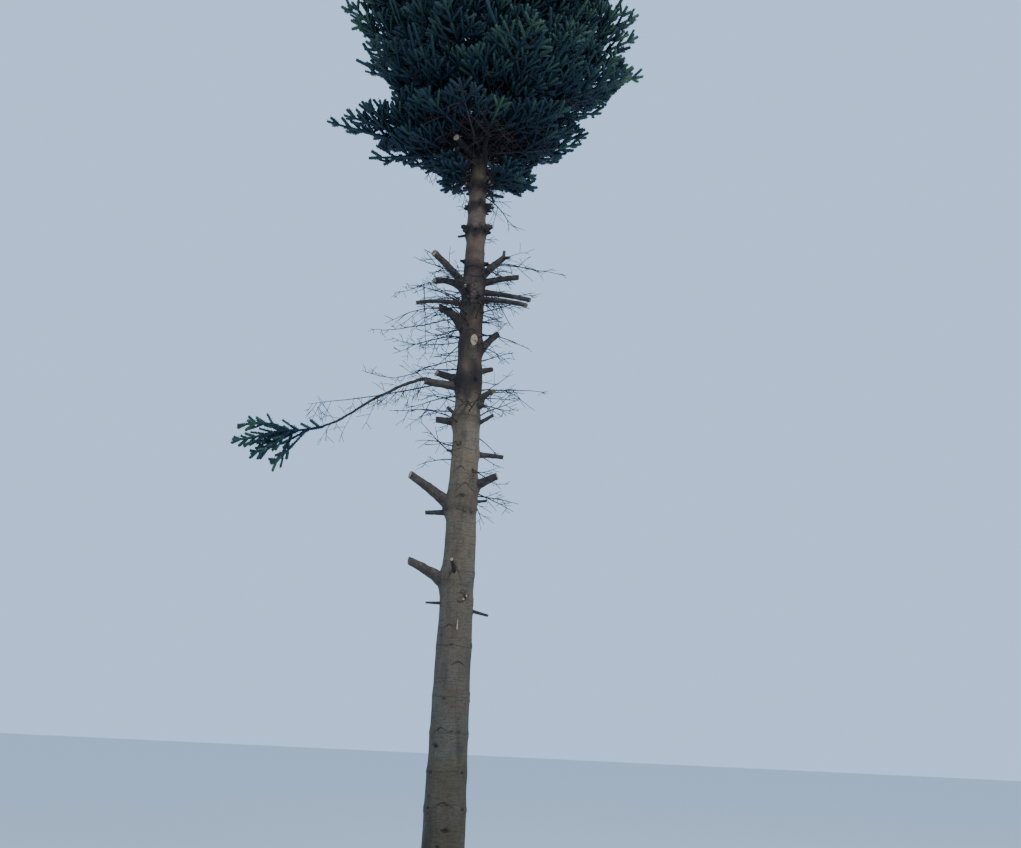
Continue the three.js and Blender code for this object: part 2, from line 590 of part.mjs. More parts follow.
function buildTree() {
  const tree = new THREE.Group();
  const cutter = trunkSolid(GAP);
  tree.add(meshOf(makeTrunk(), "trunk", bark));

  const pegs = wasm.Manifold.union(PEGS.map((peg) => pegSolid({ ...peg, radius: peg.radius + GAP })));
  const clearOfTrunk = wasm.Manifold.union([cutter, pegs]);
  const limbs = [];
  const bough = longBough(clearOfTrunk, 0);
  limbs.push(bough);
  let taken = wasm.Manifold.union([clearOfTrunk, longBough(clearOfTrunk, GAP)]);
  for (const stub of STUBS) {
    const { solid, tip } = stubSolid(stub);
    const prongs = stub.name === FORKED_STUB ? forkProngs(tip, stub.azimuth, stub.rise) : [];
    const made = wasm.Manifold.union([solid, ...prongs]).subtract(taken);
    const wider = stubSolid({ ...stub, root: stub.root + GAP, cut: stub.cut + GAP }).solid;
    taken = wasm.Manifold.union([taken, wider]);
    limbs.push(made);
    tree.add(meshOf(made, stub.name, bark));
  }
  tree.add(meshOf(bough, "long_bough", bark));
  tree.add(meshOf(boughFoliage(), "long_bough_foliage", needles));

  DEAD_SPRAYS.forEach((spray, i) => {
    const made = deadSpray(spray, DEAD_SPRAY_SEED + i, clearOfTrunk, limbs);
    limbs.push(made);
    tree.add(meshOf(made, spray.name, deadWood));
  });

  CROWN.forEach((ring, r) =>
    ring.boughs.forEach((_, i) => {
      const name = `crown_ring_${r + 1}_bough_${i + 1}`;
      tree.add(meshOf(crownMass(r, i, clearOfTrunk), name, needles));
    }),
  );
  tree.add(meshOf(leaderMass(), "crown_leader", needles));
  return tree;
}

export default buildTree();
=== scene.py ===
# Looks of a fir that has been cleared of its branches from the ground up to 6 m.
# Metres and degrees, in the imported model's frame: +Z up, +X to the right and +Y away in the photo's view.
# Azimuth 0 is +X, 90 is +Y.

import math

import bpy
import numpy as np
from mathutils import Matrix, Quaternion, Vector, noise


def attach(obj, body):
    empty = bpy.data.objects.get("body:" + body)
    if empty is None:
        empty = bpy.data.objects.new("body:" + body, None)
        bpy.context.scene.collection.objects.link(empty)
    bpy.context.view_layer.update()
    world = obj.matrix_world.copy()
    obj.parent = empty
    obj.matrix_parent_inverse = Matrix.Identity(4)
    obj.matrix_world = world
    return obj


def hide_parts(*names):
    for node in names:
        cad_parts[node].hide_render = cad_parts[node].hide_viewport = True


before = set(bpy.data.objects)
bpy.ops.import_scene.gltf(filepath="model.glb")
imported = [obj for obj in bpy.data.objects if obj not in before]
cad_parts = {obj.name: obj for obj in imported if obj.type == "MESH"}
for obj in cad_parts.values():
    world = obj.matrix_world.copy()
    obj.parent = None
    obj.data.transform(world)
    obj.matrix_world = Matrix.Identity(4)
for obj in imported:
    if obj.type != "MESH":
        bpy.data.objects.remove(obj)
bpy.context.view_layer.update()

UP = Vector((0, 0, 1))

# Steps of a limb's course, and the share of it on either side that its direction is read over
COURSE_STEPS = 12
NEARBY = 0.03

# Seeds of all that is left to chance, and the step from one bough or spray to the next
SEEDS = {"shoots": 90, "crown": 2000, "leader": 71, "bough": 77, "bough_twigs": 19, "dead_sprays": 600,
         "snags": 87, "bark": 41}
SEED_STEPS = {"crown": 13, "dead_sprays": 7}

# Trunk, as in the source. SWAY_AWAY is its sway along Y for that along X.
TRUNK_HEIGHT = 10.3
TIP_RADIUS = 0.006
TAPER = 0.0152
FLARE = 0.044
FLARE_FADE = 0.28
BUTTRESSES = 5
BUTTRESS_DEPTH = 0.2
LEAN = -0.0082
SWAY = 0.005
SWAY_LENGTH = 5.2
SWAY_AWAY = 0.5

# Trunk mesh: sides and rings before it is subdivided, close together where the trunk is bare
TRUNK_SIDES = 32
TRUNK_LEVELS = 2
BARE_HEIGHT = 6.4
BARE_STEP = 0.05
CROWN_STEP = 0.21

# Rings of old branch scars: each swells the trunk a little
WHORLS = [0.42, 0.74, 1.1, 1.35, 1.6, 1.86, 2.2, 2.54, 2.74, 3.0, 3.27, 3.4, 3.69, 3.96, 4.27, 4.56, 4.88,
          5.1, 5.39, 5.64, 5.83, 6.03, 6.36, 6.67]
WHORL_SWELL = 0.02
WHORL_WIDTH = 0.05

# Knots that show: height, azimuth, radius; each is a raised ring round a dark sunken middle
KNOTS = [
    (1.835, -109, 0.017), (1.345, -138, 0.02), (1.348, -40, 0.018), (1.19, -139, 0.015), (1.112, -140, 0.019),
    (1.109, -34, 0.021), (0.976, -84, 0.026), (0.874, -103, 0.02), (3.72, -118, 0.026), (3.31, -90, 0.019),
    (2.21, -95, 0.016), (1.517, -129, 0.028),
]
# Chevrons of bark over healed branches, whose dark lines are partly painted shade under branch collars:
# height, azimuth, half width, steepness
CHEVRONS = [
    (1.645, -112, 0.062, 0.62), (1.155, -95, 0.075, 0.5), (2.8, -101, 0.05, 2.4), (3.33, -90, 0.05, 0.6),
    (0.985, -84, 0.05, 0.35), (2.1, -70, 0.05, 0.6), (2.36, -108, 0.045, 0.7), (3.55, -104, 0.04, 0.9),
    (3.42, -80, 0.085, 0.95), (1.62, -72, 0.05, 0.15), (2.6, -66, 0.05, 0.5), (4.07, -96, 0.06, 1.0),
    (1.9, 40, 0.06, 0.6), (1.4, 120, 0.06, 0.6), (2.6, 160, 0.05, 0.7), (1.1, 10, 0.07, 0.5),
    (3.1, 80, 0.05, 0.8), (5.24, -95, 0.07, 0.25), (5.14, -80, 0.07, -0.3), (4.95, -82, 0.08, 0.25),
    (4.9, -88, 0.08, -0.2), (4.68, -92, 0.06, 0.3),
]
# Scars that each whorl gets by chance, but not on the front, where the knots above are the ones that show
WHORL_SCARS = {"count": 5, "turn": 40, "height": 0.05, "size": (0.011, 0.012)}
SEEN_FRONT = {"above": 0.8, "from": -160, "to": -20}
# A torn sliver of pale wood
SPLINTER = {"height": 2.317, "azimuth": -81, "rise": 74, "bend": 10, "length": 0.075, "width": 0.02,
            "taper": 0.85, "sunk": 0.004, "sides": 8, "rings": 5, "rough": (0.002, 0.02)}

# Dark rings round the upper trunk, rough with old twig bases: height, half height, darkness, swelling
DARK_RINGS = [
    (5.995, 0.052, 0.85, 0.12), (5.805, 0.05, 0.9, 0.12), (5.575, 0.055, 0.95, 0.15), (5.25, 0.06, 0.6, 0.06),
    (4.93, 0.10, 0.6, 0.05), (4.56, 0.08, 0.5, 0.04), (4.24, 0.12, 0.75, 0.07), (3.95, 0.05, 0.4, 0.03),
    (3.225, 0.022, 0.3, 0.05), (3.3, 0.09, 0.22, 0.02), (2.66, 0.03, 0.2, 0.012), (6.36, 0.14, 0.6, 0.05),
]
# Their uneven edge and lumps round the trunk: share of the half height or swelling, then waves
RING_EDGE = {"broad": 0.35, "broad_waves": 3, "shift": 9, "fine": 0.2, "fine_waves": 7}
RING_LUMPS = {"least": 0.8, "more": 0.2, "waves": 9, "shift": 5}

# Brown patches between the dark rings: height, azimuth, half height, half width
BROWN_PATCHES = [
    (5.31, -90, 0.04, 0.09), (5.02, -75, 0.075, 0.05), (4.78, -85, 0.08, 0.06), (4.5, -50, 0.1, 0.03),
    (4.5, -100, 0.1, 0.03), (4.36, -112, 0.06, 0.03), (5.05, 60, 0.08, 0.06), (4.7, 110, 0.1, 0.06),
    (4.45, 20, 0.1, 0.05), (4.8, 170, 0.09, 0.05),
]

# Relief of the bark. Collars under limbs and knots go by the radius of the limb or knot, and the chevrons and
# the lines that run part of the way round each whorl are in metres and degrees.
# A collar's darkness, spread as far as its shade reaches, is painted shade below the limb; a knot's darkness
# is its own dark wood.
COLLAR = {"below": 0.3, "upright": 0.85, "height": 0.7, "reach": 1.7, "darkness": 0.42, "shade": 1.8}
KNOT = {"across": 0.7, "rim": 0.2, "rim_width": 0.5, "hollow": 0.4, "hollow_width": 0.6, "darkness": 0.35,
        "shade": 1.1, "mark_across": 0.72, "mark_up": 1.25, "ragged": 0.5, "ragged_scale": 70}
CHEVRON = {"reach": 0.25, "round": 0.008, "ridge": 0.0035, "ridge_place": 0.014, "ridge_width": 0.01,
           "groove": 0.002, "groove_width": 0.008}
WHORL_LINE = {"half": (50, 60), "slant": 0.012, "height": 0.02, "wave": 0.003, "waves": 5, "strength": 0.5}
# How far from a line its mask reaches, the distance past which it isn't told apart, and the marks of a vertex
# that is far from every knot and line
LINE_REACH = 0.02
LINE_LIMIT = 0.03
FAR_FROM_KNOT = 3.0
FAR_FROM_LINE = 1.0
# Unevenness all over, and the radius above which the trunk has relief
SWELLS = {"height": 0.004, "scale": 4.5}
RIPPLES = {"height": 0.0012, "across": 26, "up": 9}
CREASES = {"depth": 0.0012, "across": 7, "up": 42, "from": 0.1}
THINNEST_RELIEF = 0.02

# Cut stubs, as in the source: height, azimuth, rise, bend, length, root radius, cut radius
STUBS = {
    "stub_left_a": (5.105, 200, 44, -8, 0.345, 0.030, 0.022),
    "stub_left_b": (5.085, 152, 56, -56, 0.330, 0.031, 0.021),
    "stub_left_c": (4.925, 190, 12, -30, 0.370, 0.017, 0.012),
    "stub_left_d": (4.775, 168, 62, -40, 0.245, 0.038, 0.026),
    "stub_left_e": (4.285, 154, 34, -16, 0.225, 0.029, 0.023),
    "stub_left_f": (3.922, 185, 8, -6, 0.140, 0.027, 0.022),
    "stub_left_g": (3.275, 188, 38, -8, 0.360, 0.042, 0.026),
    "stub_left_h": (3.202, 178, 2, -6, 0.165, 0.019, 0.013),
    "stub_left_i": (2.690, 190, 34, -14, 0.280, 0.042, 0.026),
    "stub_right_a": (5.190, -20, 38, 0, 0.235, 0.028, 0.022),
    "stub_right_b": (5.140, 10, 24, -12, 0.300, 0.024, 0.019),
    "stub_right_c": (5.048, 2, -2, -8, 0.385, 0.020, 0.016),
    "stub_right_d": (4.962, -27, -8, -14, 0.415, 0.020, 0.016),
    "stub_right_e": (4.565, 10, 58, -16, 0.185, 0.029, 0.022),
    "stub_right_f": (4.085, -32, 80, -80, 0.150, 0.027, 0.015),
    "stub_right_g": (3.675, 12, 5, -8, 0.195, 0.019, 0.014),
    "stub_right_h": (3.420, -16, 26, -4, 0.170, 0.031, 0.025),
    "stub_front": (4.470, -80, 52, -10, 0.120, 0.031, 0.025),
    "stub_crown_foot": (6.262, 228, 26, -6, 0.240, 0.027, 0.022),
    "stub_back_a": (5.075, 95, 24, -10, 0.265, 0.026, 0.020),
    "stub_back_b": (4.285, 112, 34, -12, 0.215, 0.028, 0.021),
}
# Their feet: how deep they are sunk, how thick bark is, how much wider they are there and how soon that fades
STUB_SUNK = 0.06
BARK_THICKNESS = 0.0035
ROOT_SPREAD = 1.35
COLLAR_FADE = 7
# Their finish: bark other than the usual, cuts that are still pale, and roughness for the cut's radius at a
# size
# The stub at the crown's foot gets the darker bark as painted shade from the crown above it.
STUB_BARK = {"stub_left_g": "red_bark", "stub_left_i": "red_bark", "stub_right_f": "red_bark",
             "stub_crown_foot": "dark_and_shaded_bark", "stub_front": "callus"}
PALE_CUTS = ("stub_left_a", "stub_left_b", "stub_left_d", "stub_left_e", "stub_left_g", "stub_front",
             "stub_crown_foot", "stub_back_a", "stub_back_b", "stub_right_h")
STUB_ROUGH = {"share": 0.16, "size": 0.032}
# The two prongs of the forked one
FORKED_STUB = "stub_right_a"
FORK = {"spread": 48, "turn": 12, "back": 0.022, "length": 0.062, "radius": 0.015, "taper": 0.15,
        "sides": 10, "rings": 3, "rough": (0.0015, 0.03)}

# How limbs are made: sides, rings, levels of subdivision, insets of the cut for its radius, angle up to which
# edges are smooth, and how near the cut's plane and how squarely with it a face still belongs to the cut
LIMB_SIDES = 12
LIMB_RINGS = 9
LIMB_LEVELS = 1
CUT_INSETS = (0.1, 0.3, 0.3)
SMOOTH_ANGLE = 50
CUT_DEPTH = 0.0012
CUT_FACING = 0.8
# The finer lumps of their rough bark: size and strength for those of the broad ones
FINER_LUMPS = {"closer": 2.7, "share": 0.5}

# Sloping saw cuts: how far each end face looks down, and turns, from square to its limb. A steep one leaves
# room for fewer rings.
STEEP = {"from": 40, "rings": 5}
SQUARE_CUT = (6, 0)
SLOPING_CUTS = {
    "stub_left_a": (30, 26), "stub_left_b": (10, 52), "stub_left_d": (24, 22), "stub_left_e": (14, 52),
    "stub_left_g": (18, 20), "stub_left_i": (20, 14), "stub_front": (50, 0), "stub_crown_foot": (24, 18),
    "stub_right_f": (10, -24), "stub_right_d": (4, -18), "stub_right_c": (6, -20), "stub_left_c": (6, 16),
}

# Pegs: height, azimuth, rise, length, radius
PEGS = [
    (5.556, 182, -14, 0.072, 0.012), (3.681, 200, -7, 0.042, 0.011), (3.990, 186, 42, 0.078, 0.015),
    (2.514, 200, -3, 0.112, 0.010), (5.822, 0, 7, 0.068, 0.015), (5.634, -10, 6, 0.062, 0.020),
    (4.056, -42, -20, 0.110, 0.016), (4.370, 22, 20, 0.105, 0.023), (3.915, -18, 28, 0.130, 0.015),
    (3.298, 2, 8, 0.074, 0.012), (2.468, -6, -14, 0.118, 0.012),
    (3.940, 98, 12, 0.080, 0.018), (2.735, 66, 18, 0.120, 0.020), (5.650, 110, 10, 0.070, 0.016),
    (6.035, -48, 30, 0.060, 0.017),
]

# Short broken twig bases round the three dark rings under the crown: ring and count, then single thick ones
SNAG_RINGS = [(5.98, 7), (5.81, 8), (5.585, 8)]
SNAG = {"length": 0.03, "longer": (0.6, 1), "radius": 0.018, "thicker": (0.7, 0.5), "turn": 0.7,
        "height": 0.03, "rise": (-10, 40)}
BROKEN_BASES = [
    (5.615, 184, 16, 0.052, 0.030), (5.585, 206, -6, 0.040, 0.026), (5.605, -8, 20, 0.066, 0.032),
    (5.59, -34, -4, 0.044, 0.026), (5.60, 14, 6, 0.050, 0.024), (5.83, -12, 12, 0.058, 0.018),
    (5.80, -2, -8, 0.052, 0.020), (5.81, 176, 4, 0.036, 0.020), (5.30, 190, 10, 0.04, 0.024),
    (5.28, -14, 14, 0.04, 0.022), (4.24, -58, 30, 0.04, 0.026), (4.95, -64, 24, 0.036, 0.022),
]
# Gnarled wood grown over small cuts
CALLUSES = [
    (2.556, -58, 24, 0.026, 0.028), (2.530, -76, 6, 0.018, 0.026), (2.575, -70, 30, 0.014, 0.018),
    (3.205, -78, 4, 0.016, 0.024), (3.215, -104, 10, 0.012, 0.02), (3.2, -52, 0, 0.014, 0.02),
    (3.72, -118, 16, 0.01, 0.022),
]
# Small fresh cuts
SMALL_CUTS = [
    (2.535, -68, 10, 0.022, 0.009), (2.552, -60, 20, 0.03, 0.008),
    (6.03, 196, 8, 0.034, 0.013), (6.035, -28, 8, 0.04, 0.017), (6.22, 216, 16, 0.2, 0.014),
    (6.28, -66, 62, 0.26, 0.019), (2.742, -102, 38, 0.115, 0.012), (5.01, -114, 30, 0.06, 0.018),
]
# Each kind of short limb: depth it is sunk, level or along itself, its foot and what it loses by its tip for
# its own radius, sides, slope of its cut, bark and cut, and roughness for its radius at a size
SHORT_LIMBS = {
    "peg": {"sunk": 0.05, "level": False, "foot": 1.35, "taper": 0.5, "sides": 10, "slope": SQUARE_CUT,
            "finish": ("stub_bark", "old_sawn"), "rough": (0.12, 0.03)},
    "small_cut": {"sunk": 0.03, "level": False, "foot": 1.3, "taper": 0.3, "sides": 10, "slope": (20, 0),
                  "finish": ("dark_and_shaded_bark", "sawn"), "rough": None},
    "snag": {"sunk": 0.03, "level": True, "foot": 1.3, "taper": 0.85, "sides": 8, "slope": SQUARE_CUT,
             "finish": ("dark_and_shaded_bark", "dark_and_shaded_bark"), "rough": (0.3, 0.02)},
    "callus": {"sunk": 0.03, "level": True, "foot": 1.3, "taper": 0.85, "sides": 8, "slope": SQUARE_CUT,
               "finish": ("callus", "callus"), "rough": (0.3, 0.02)},
}
SHORT_RINGS = 4

# Long live bough, as in the source: azimuth at the trunk, how far it swings by its end, and its course as
# distance from the axis, height and radius
BOUGH_AZIMUTH = 194
BOUGH_SWING = -14
BOUGH_COURSE = [
    (0.040, 4.205, 0.036), (0.165, 4.226, 0.030), (0.300, 4.234, 0.029), (0.352, 4.238, 0.023),
    (0.388, 4.243, 0.011), (0.515, 4.187, 0.010), (0.710, 4.076, 0.009), (0.985, 3.888, 0.008),
    (1.130, 3.832, 0.007),
]
# Its thick sawn foot, which ends at this point of the course
KNOB_END = 3
KNOB = {"rise": 6, "bend": -2, "radius": 0.037, "taper": 0.008, "rounding": 0.02, "round_from": 0.8,
        "sides": 14, "rings": 10, "rough": (0.005, 0.05)}
# The thin bough beyond the knob: the point of the course that it starts from, how much the first points are
# lifted onto the knob's end and their radii, its joints, the first one that wavers, how far it wavers up and
# across, and its uneven girth
BOUGH_STEM = {"first": 2, "lifts": (0.012, 0.014), "radii": [0.012, 0.013], "joints": 40, "straight": 4,
              "up": 0.006, "across": 0.008, "girth": (1.12, 0.3), "sides": 8}
# Its bare side twig
BOUGH_TWIG = [(-0.291, -0.06, 4.202), (-0.526, -0.09, 4.130), (-0.729, -0.09, 4.081), (-0.970, -0.09, 4.035),
              (-1.123, -0.09, 4.013), (-1.262, -0.08, 3.989)]
BOUGH_TWIG_MESH = {"joints": 20, "root": 0.006, "tip": 0.0015, "sides": 6}
# Dead twigs that hang from both: first joint and reach on the bough and on its side twig, chance of none, how
# far forward they point, share that hangs and how steeply, lift of the rest, least share of the reach, girth
HANGING_TWIGS = {"bough": (4, 0.18), "side": (2, 0.12), "missing": 0.18, "forward": 0.9, "hanging": 0.7,
                 "fall": -0.5, "lift": 0.6, "reach": 0.5, "radius": 0.0022}
# Its green end: how the branches grow, then points along each and its order
BOUGH_SPRAY = {"bright": -0.12, "orders": 2, "roll": 68, "turns": [34, 28, 24, 22], "short_side": 0.65,
               "ratio": 0.34, "shoot": 0.075, "girth": 0.9}
BOUGH_ROOT = 0.005
BOUGH_BRANCHES = [
    ([(-1.135, 0.0, 3.838), (-1.29, -0.01, 3.795), (-1.387, -0.02, 3.788), (-1.471, -0.02, 3.776),
      (-1.562, -0.02, 3.755), (-1.659, -0.02, 3.718), (-1.741, -0.02, 3.698), (-1.83, -0.02, 3.693)], 1),
    ([(-1.46, -0.02, 3.784), (-1.535, -0.04, 3.825), (-1.615, -0.06, 3.828), (-1.705, -0.08, 3.805),
      (-1.785, -0.09, 3.788)], 1),
    ([(-1.41, -0.02, 3.787), (-1.482, 0.0, 3.735), (-1.553, 0.02, 3.675), (-1.624, 0.03, 3.623),
      (-1.69, 0.04, 3.6)], 1),
    ([(-1.375, -0.02, 3.789), (-1.427, -0.05, 3.729), (-1.481, -0.07, 3.662), (-1.536, -0.09, 3.603),
      (-1.59, -0.1, 3.57)], 1),
    ([(-1.37, -0.02, 3.789), (-1.4, 0.03, 3.706), (-1.445, 0.06, 3.631), (-1.49, 0.08, 3.573),
      (-1.535, 0.09, 3.54)], 1),
    ([(-1.275, -0.01, 3.795), (-1.31, -0.04, 3.719), (-1.36, -0.06, 3.644), (-1.41, -0.07, 3.577),
      (-1.455, -0.08, 3.51)], 2),
    ([(-1.23, -0.005, 3.812), (-1.26, -0.03, 3.842), (-1.31, -0.05, 3.838)], 2),
    ([(-1.17, 0.0, 3.83), (-1.2, -0.03, 3.862), (-1.24, -0.05, 3.872)], 2),
    ([(-1.33, -0.01, 3.792), (-1.36, 0.03, 3.822), (-1.39, 0.05, 3.842)], 2),
    ([(-1.43, -0.02, 3.785), (-1.5, -0.04, 3.76), (-1.58, -0.05, 3.71), (-1.66, -0.05, 3.67),
      (-1.73, -0.05, 3.645)], 2),
]

# Dead twigs that grow round the pole with each dead spray: lowest and highest, count, longest
POLE_TWIGS = {
    "dead_spray_left_a": (4.72, 5.2, 15, 0.5), "dead_spray_left_b": (4.3, 4.72, 16, 0.5),
    "dead_spray_left_c": (3.62, 4.2, 15, 0.46), "dead_spray_right_a": (4.75, 5.35, 20, 0.5),
    "dead_spray_right_b": (3.3, 4.6, 17, 0.42), "dead_spray_crown_foot": (5.5, 6.05, 9, 0.2),
}
# Where they point: share that grows to the spray's own side and how far round, how steep, their reach for the
# longest and their girth
POLE_TWIG = {"beside": 0.75, "turn": 150, "steep": 70, "sunk": 0.01, "reach": (0.35, 0.65),
             "radius": 0.0026, "thicker": 0.009}

# Dead twigs: length and least number of joints, crookedness and sag, chance that a side twig is missing, its
# turn and tilt, its reach for what is left of the stem, and its girth
DEAD_TWIG = {"joint": 0.07, "least_joints": 3, "crooked": 0.34, "sag": -0.03, "missing": 0.2,
             "turn": (40, 26), "tilt": 70, "share": 0.55, "extra": 0.045, "reach": (0.6, 0.7),
             "thinnest": 0.0024, "girth": 0.6}
DRAWN_TWIG = {"joints": 24, "crooked": 0.008, "sides": 5, "first": 5, "turn": (30, 40), "tilt": 120,
              "reach": 0.03, "longer": 0.09, "radius": 0.0026}
TWIG_TIP = 0.002
STEM_SIDES = 5
TWIG_SIDES = 3

# Single twigs that stand out, with the dead spray they belong to: radius, then points along them
DRAWN_TWIGS = {
    "dead_spray_left_a": [
        (0.0045, [(-0.36, 0.12, 5.176), (-0.458, 0.12, 5.153), (-0.57, 0.12, 5.093), (-0.7, 0.12, 5.059)]),
        (0.0045, [(-0.458, 0.12, 5.153), (-0.443, 0.12, 5.008), (-0.427, 0.12, 4.829), (-0.406, 0.12, 4.653),
                  (-0.404, 0.12, 4.522)]),
        (0.006, [(-0.12, 0.03, 5.21), (-0.22, 0.03, 5.2), (-0.36, 0.03, 5.172)]),
        (0.005, [(-0.12, 0.03, 5.24), (-0.24, 0.03, 5.25), (-0.38, 0.03, 5.225)]),
    ],
    "dead_spray_left_b": [
        (0.007, [(-0.11, 0, 4.83), (-0.15, 0, 4.81), (-0.293, 0, 4.774), (-0.412, 0, 4.733),
                 (-0.61, 0, 4.688), (-0.73, 0, 4.673), (-0.843, 0, 4.676)]),
        (0.005, [(-0.12, 0, 4.6), (-0.26, 0, 4.57), (-0.399, 0, 4.56), (-0.56, 0, 4.569), (-0.667, 0, 4.61)]),
    ],
    "dead_spray_left_c": [
        (0.005, [(-0.12, -0.02, 4.44), (-0.347, -0.02, 4.37), (-0.499, -0.02, 4.289), (-0.616, -0.02, 4.258),
                 (-0.736, -0.02, 4.269), (-0.882, -0.02, 4.313)]),
    ],
}

# Dead sprays, as in the source: height, azimuth, rise, length
DEAD_SPRAYS = {
    "dead_spray_left_a": (4.900, 184, -4, 0.660),
    "dead_spray_left_b": (4.650, 172, 4, 0.600),
    "dead_spray_left_c": (4.010, 190, 4, 0.520),
    "dead_spray_right_a": (5.300, -6, 6, 0.700),
    "dead_spray_right_b": (4.200, 6, 4, 0.620),
    "dead_spray_crown_foot": (5.920, -5, -34, 0.420),
}
SPRAY_SUNK = 0.012
SPRAY_ROOT = 0.0065

# Crown, as in the source: height, rise, lift and each bough's azimuth and length
CROWN = [
    (6.08, -16, 10, [(188, 0.48), (352, 0.60)]),
    (6.36, 7, 12, [(176, 1.40), (258, 0.80), (6, 1.08), (88, 1.04)]),
    (6.67, 7, 13, [(214, 1.18), (292, 1.18), (346, 1.34), (58, 1.28), (134, 1.26)]),
    (6.99, 9, 12, [(170, 1.30), (252, 1.40), (8, 1.50), (90, 1.43)]),
    (7.48, 16, 14, [(204, 1.44), (300, 1.38), (342, 1.48), (48, 1.40), (128, 1.40)]),
    (8.25, 27, 14, [(178, 1.26), (292, 1.22), (56, 1.24)]),
    (8.98, 36, 10, [(236, 0.98), (350, 0.96), (116, 0.97)]),
    (9.64, 44, 8, [(190, 0.62), (292, 0.60), (56, 0.61)]),
]

# What stands for a ring above the top one: its depth below the trunk's tip, and how much steeper it is
TOP_RING = {"below_tip": 0.3, "rise": 6}

# Side branches: reach for what is left of the stem, what is added to it, and angle by order
LATERAL_RATIO = 0.54
LATERAL_EXTRA = 0.06
LATERAL_ANGLES = [52, 42, 34, 30]

# How a side branch leaves its stem. Pairs are the least and what chance adds to it, turn and tilt are how
# widely they vary, missing is the chance of none for each order, and girth and taper go by the stem's root.
SIDE_BRANCH = {"reach": (0.86, 0.28), "turn": 14, "tilt": 22, "tilt_middle": 0.42, "missing": 0.06,
               "girth": 0.62, "taper": 0.3}
UPRIGHT_SHOOT = {"order": 2, "chance": 0.5, "lift": (0.7, 0.5), "reach": (0.7, 0.4)}
BOWING = {"steps": 4, "sway": 0.3, "forward": 0.28}
BARE_EDGE = (0.85, 0.3)
# Bare wood shows all along branches of the orders below this one, and on the rest up to their needles
WOODY_ORDERS = 2
BRANCH_TIP = 0.0025
THINNEST_BRANCH = 0.003
WOOD_SIDES = (6, 4, 3, 3)

# A shoot is lighter towards the branch's tip, by chance, and for each metre from the trunk, which is painted
# light on the crown's outside and painted shade deep inside it, and darker for each order. Then where every
# tone but the first begins.
LIGHTNESS = {"tip": 0.8, "chance": 0.5, "outward": 0.35, "order": 0.12}
TONES = ["deep", "dark", "mid", "fresh_and_lit"]
TONE_STEPS = [0.72, 1.1, 1.42]

# Longer shoots that end some side branches in the crown: chance at the sides and in front, lowest ring, order
# and shortest branch that have them, and their own order, length and lift
LONG_SHOOT = {"sides": 0.42, "front": 0.08, "ring": 2, "branch_order": 1, "branch": 0.24, "order": 3,
              "length": 0.19, "lift": 0.7}

# The shoot at the top and its ring of arms
# Its bright is painted light: the top's shoots get lighter tones.
LEADER = {"length": 0.42, "root": 0.006, "arms": 4, "azimuth": 20, "rise": 52, "arm": 0.33, "arm_root": 0.005,
          "bright": 0.5}

# One year's shoot: its usual length, the lengths that are made, copies of each, how far a copy may be rolled
# in radians, and how many triangles of them a piece takes before the next bough begins a new one
SHOOT = 0.11
SHOOT_LENGTHS = [0.06, 0.085, 0.11, 0.14, 0.18]
SHOOT_COPIES = 3
SHOOT_ROLL = 0.9
PIECE_LIMIT = 150000

# Its core: radius, sides, and places along it with their share of that radius
CORE_RADIUS = 0.0132
CORE_SIDES = 4
CORE_PROFILE = [(0, 0.6), (0.12, 1), (0.93, 1), (1, 0.5)]

# Its needles, which lean out at the foot and close up towards the tip, and are longest in the middle
NEEDLE_LENGTH = 0.019
NEEDLE_WIDTH = 0.0092
NEEDLES_PER_METRE = 140
GOLDEN_ANGLE = 137.5
NEEDLE_PLACE = {"along": 0.6, "turn": 0.5, "last": 0.97, "sunk": 0.7, "widest": 0.55}
NEEDLE_LEAN = {"foot": 50, "closing": 26, "vary": 14, "lift": 0.14}
NEEDLE_REACH = {"ends": 0.85, "middle": 0.25, "shift": 0.15, "vary": (0.9, 0.2)}

# How each ring grows: bare share at the foot, droop of side branches, upward sweep, length of the boughs
# between, and how much lighter its shoots are, which is painted light on the upper rings and painted shade on
# the lowest
RING_GROWTH = [
    (0.16, 6, 0.10, 0.0, -0.2), (0.34, 9, 0.15, 0.72, -0.22), (0.36, 2, 0.18, 0.92, -0.15),
    (0.40, 2, 0.34, 1.02, 0.0), (0.38, 2, 0.34, 0.96, 0.24), (0.34, 2, 0.30, 0.9, 0.32),
    (0.26, 2, 0.25, 0.86, 0.36), (0.16, 2, 0.2, 0.86, 0.38),
]
# Single boughs by ring and azimuth: eased length, and shorter branches on one side. Then the low boughs that
# face the camera, which are bare for a larger share of their length.
EASED_BOUGHS = {(1, 6): 0.84, (0, 352): 0.86, (0, 188): 0.72, (2, 174): 0.78, (1, 217): 0.9, (3, 170): 0.88}
SHORT_SIDES = {(1, 176): 0.72, (1, 160): 0.7, (1, 217): 0.7}
BARE_FRONT = {"from": 232, "to": 316, "rings": 2, "share": 0.2}

# Foot of a crown bough: part of the trunk's radius that it is sunk, bare length past its ring's share, girth
BOUGH_FOOT = {"sunk": 0.5, "bare": 0.05, "thinnest": 0.009, "girth": 0.013}

# Dead twigs inside the crown: how many on each bough of a ring, from where on it and how far past its bare
# share they grow, how they rise or fall, length and radius
INNER_TWIGS = [8, 30, 26, 16, 4, 0, 0, 0]
INNER_TWIG = {"from": 0.04, "past": 0.22, "rise": 0.9, "fall": 0.35, "length": (0.1, 0.2), "radius": 0.0035}

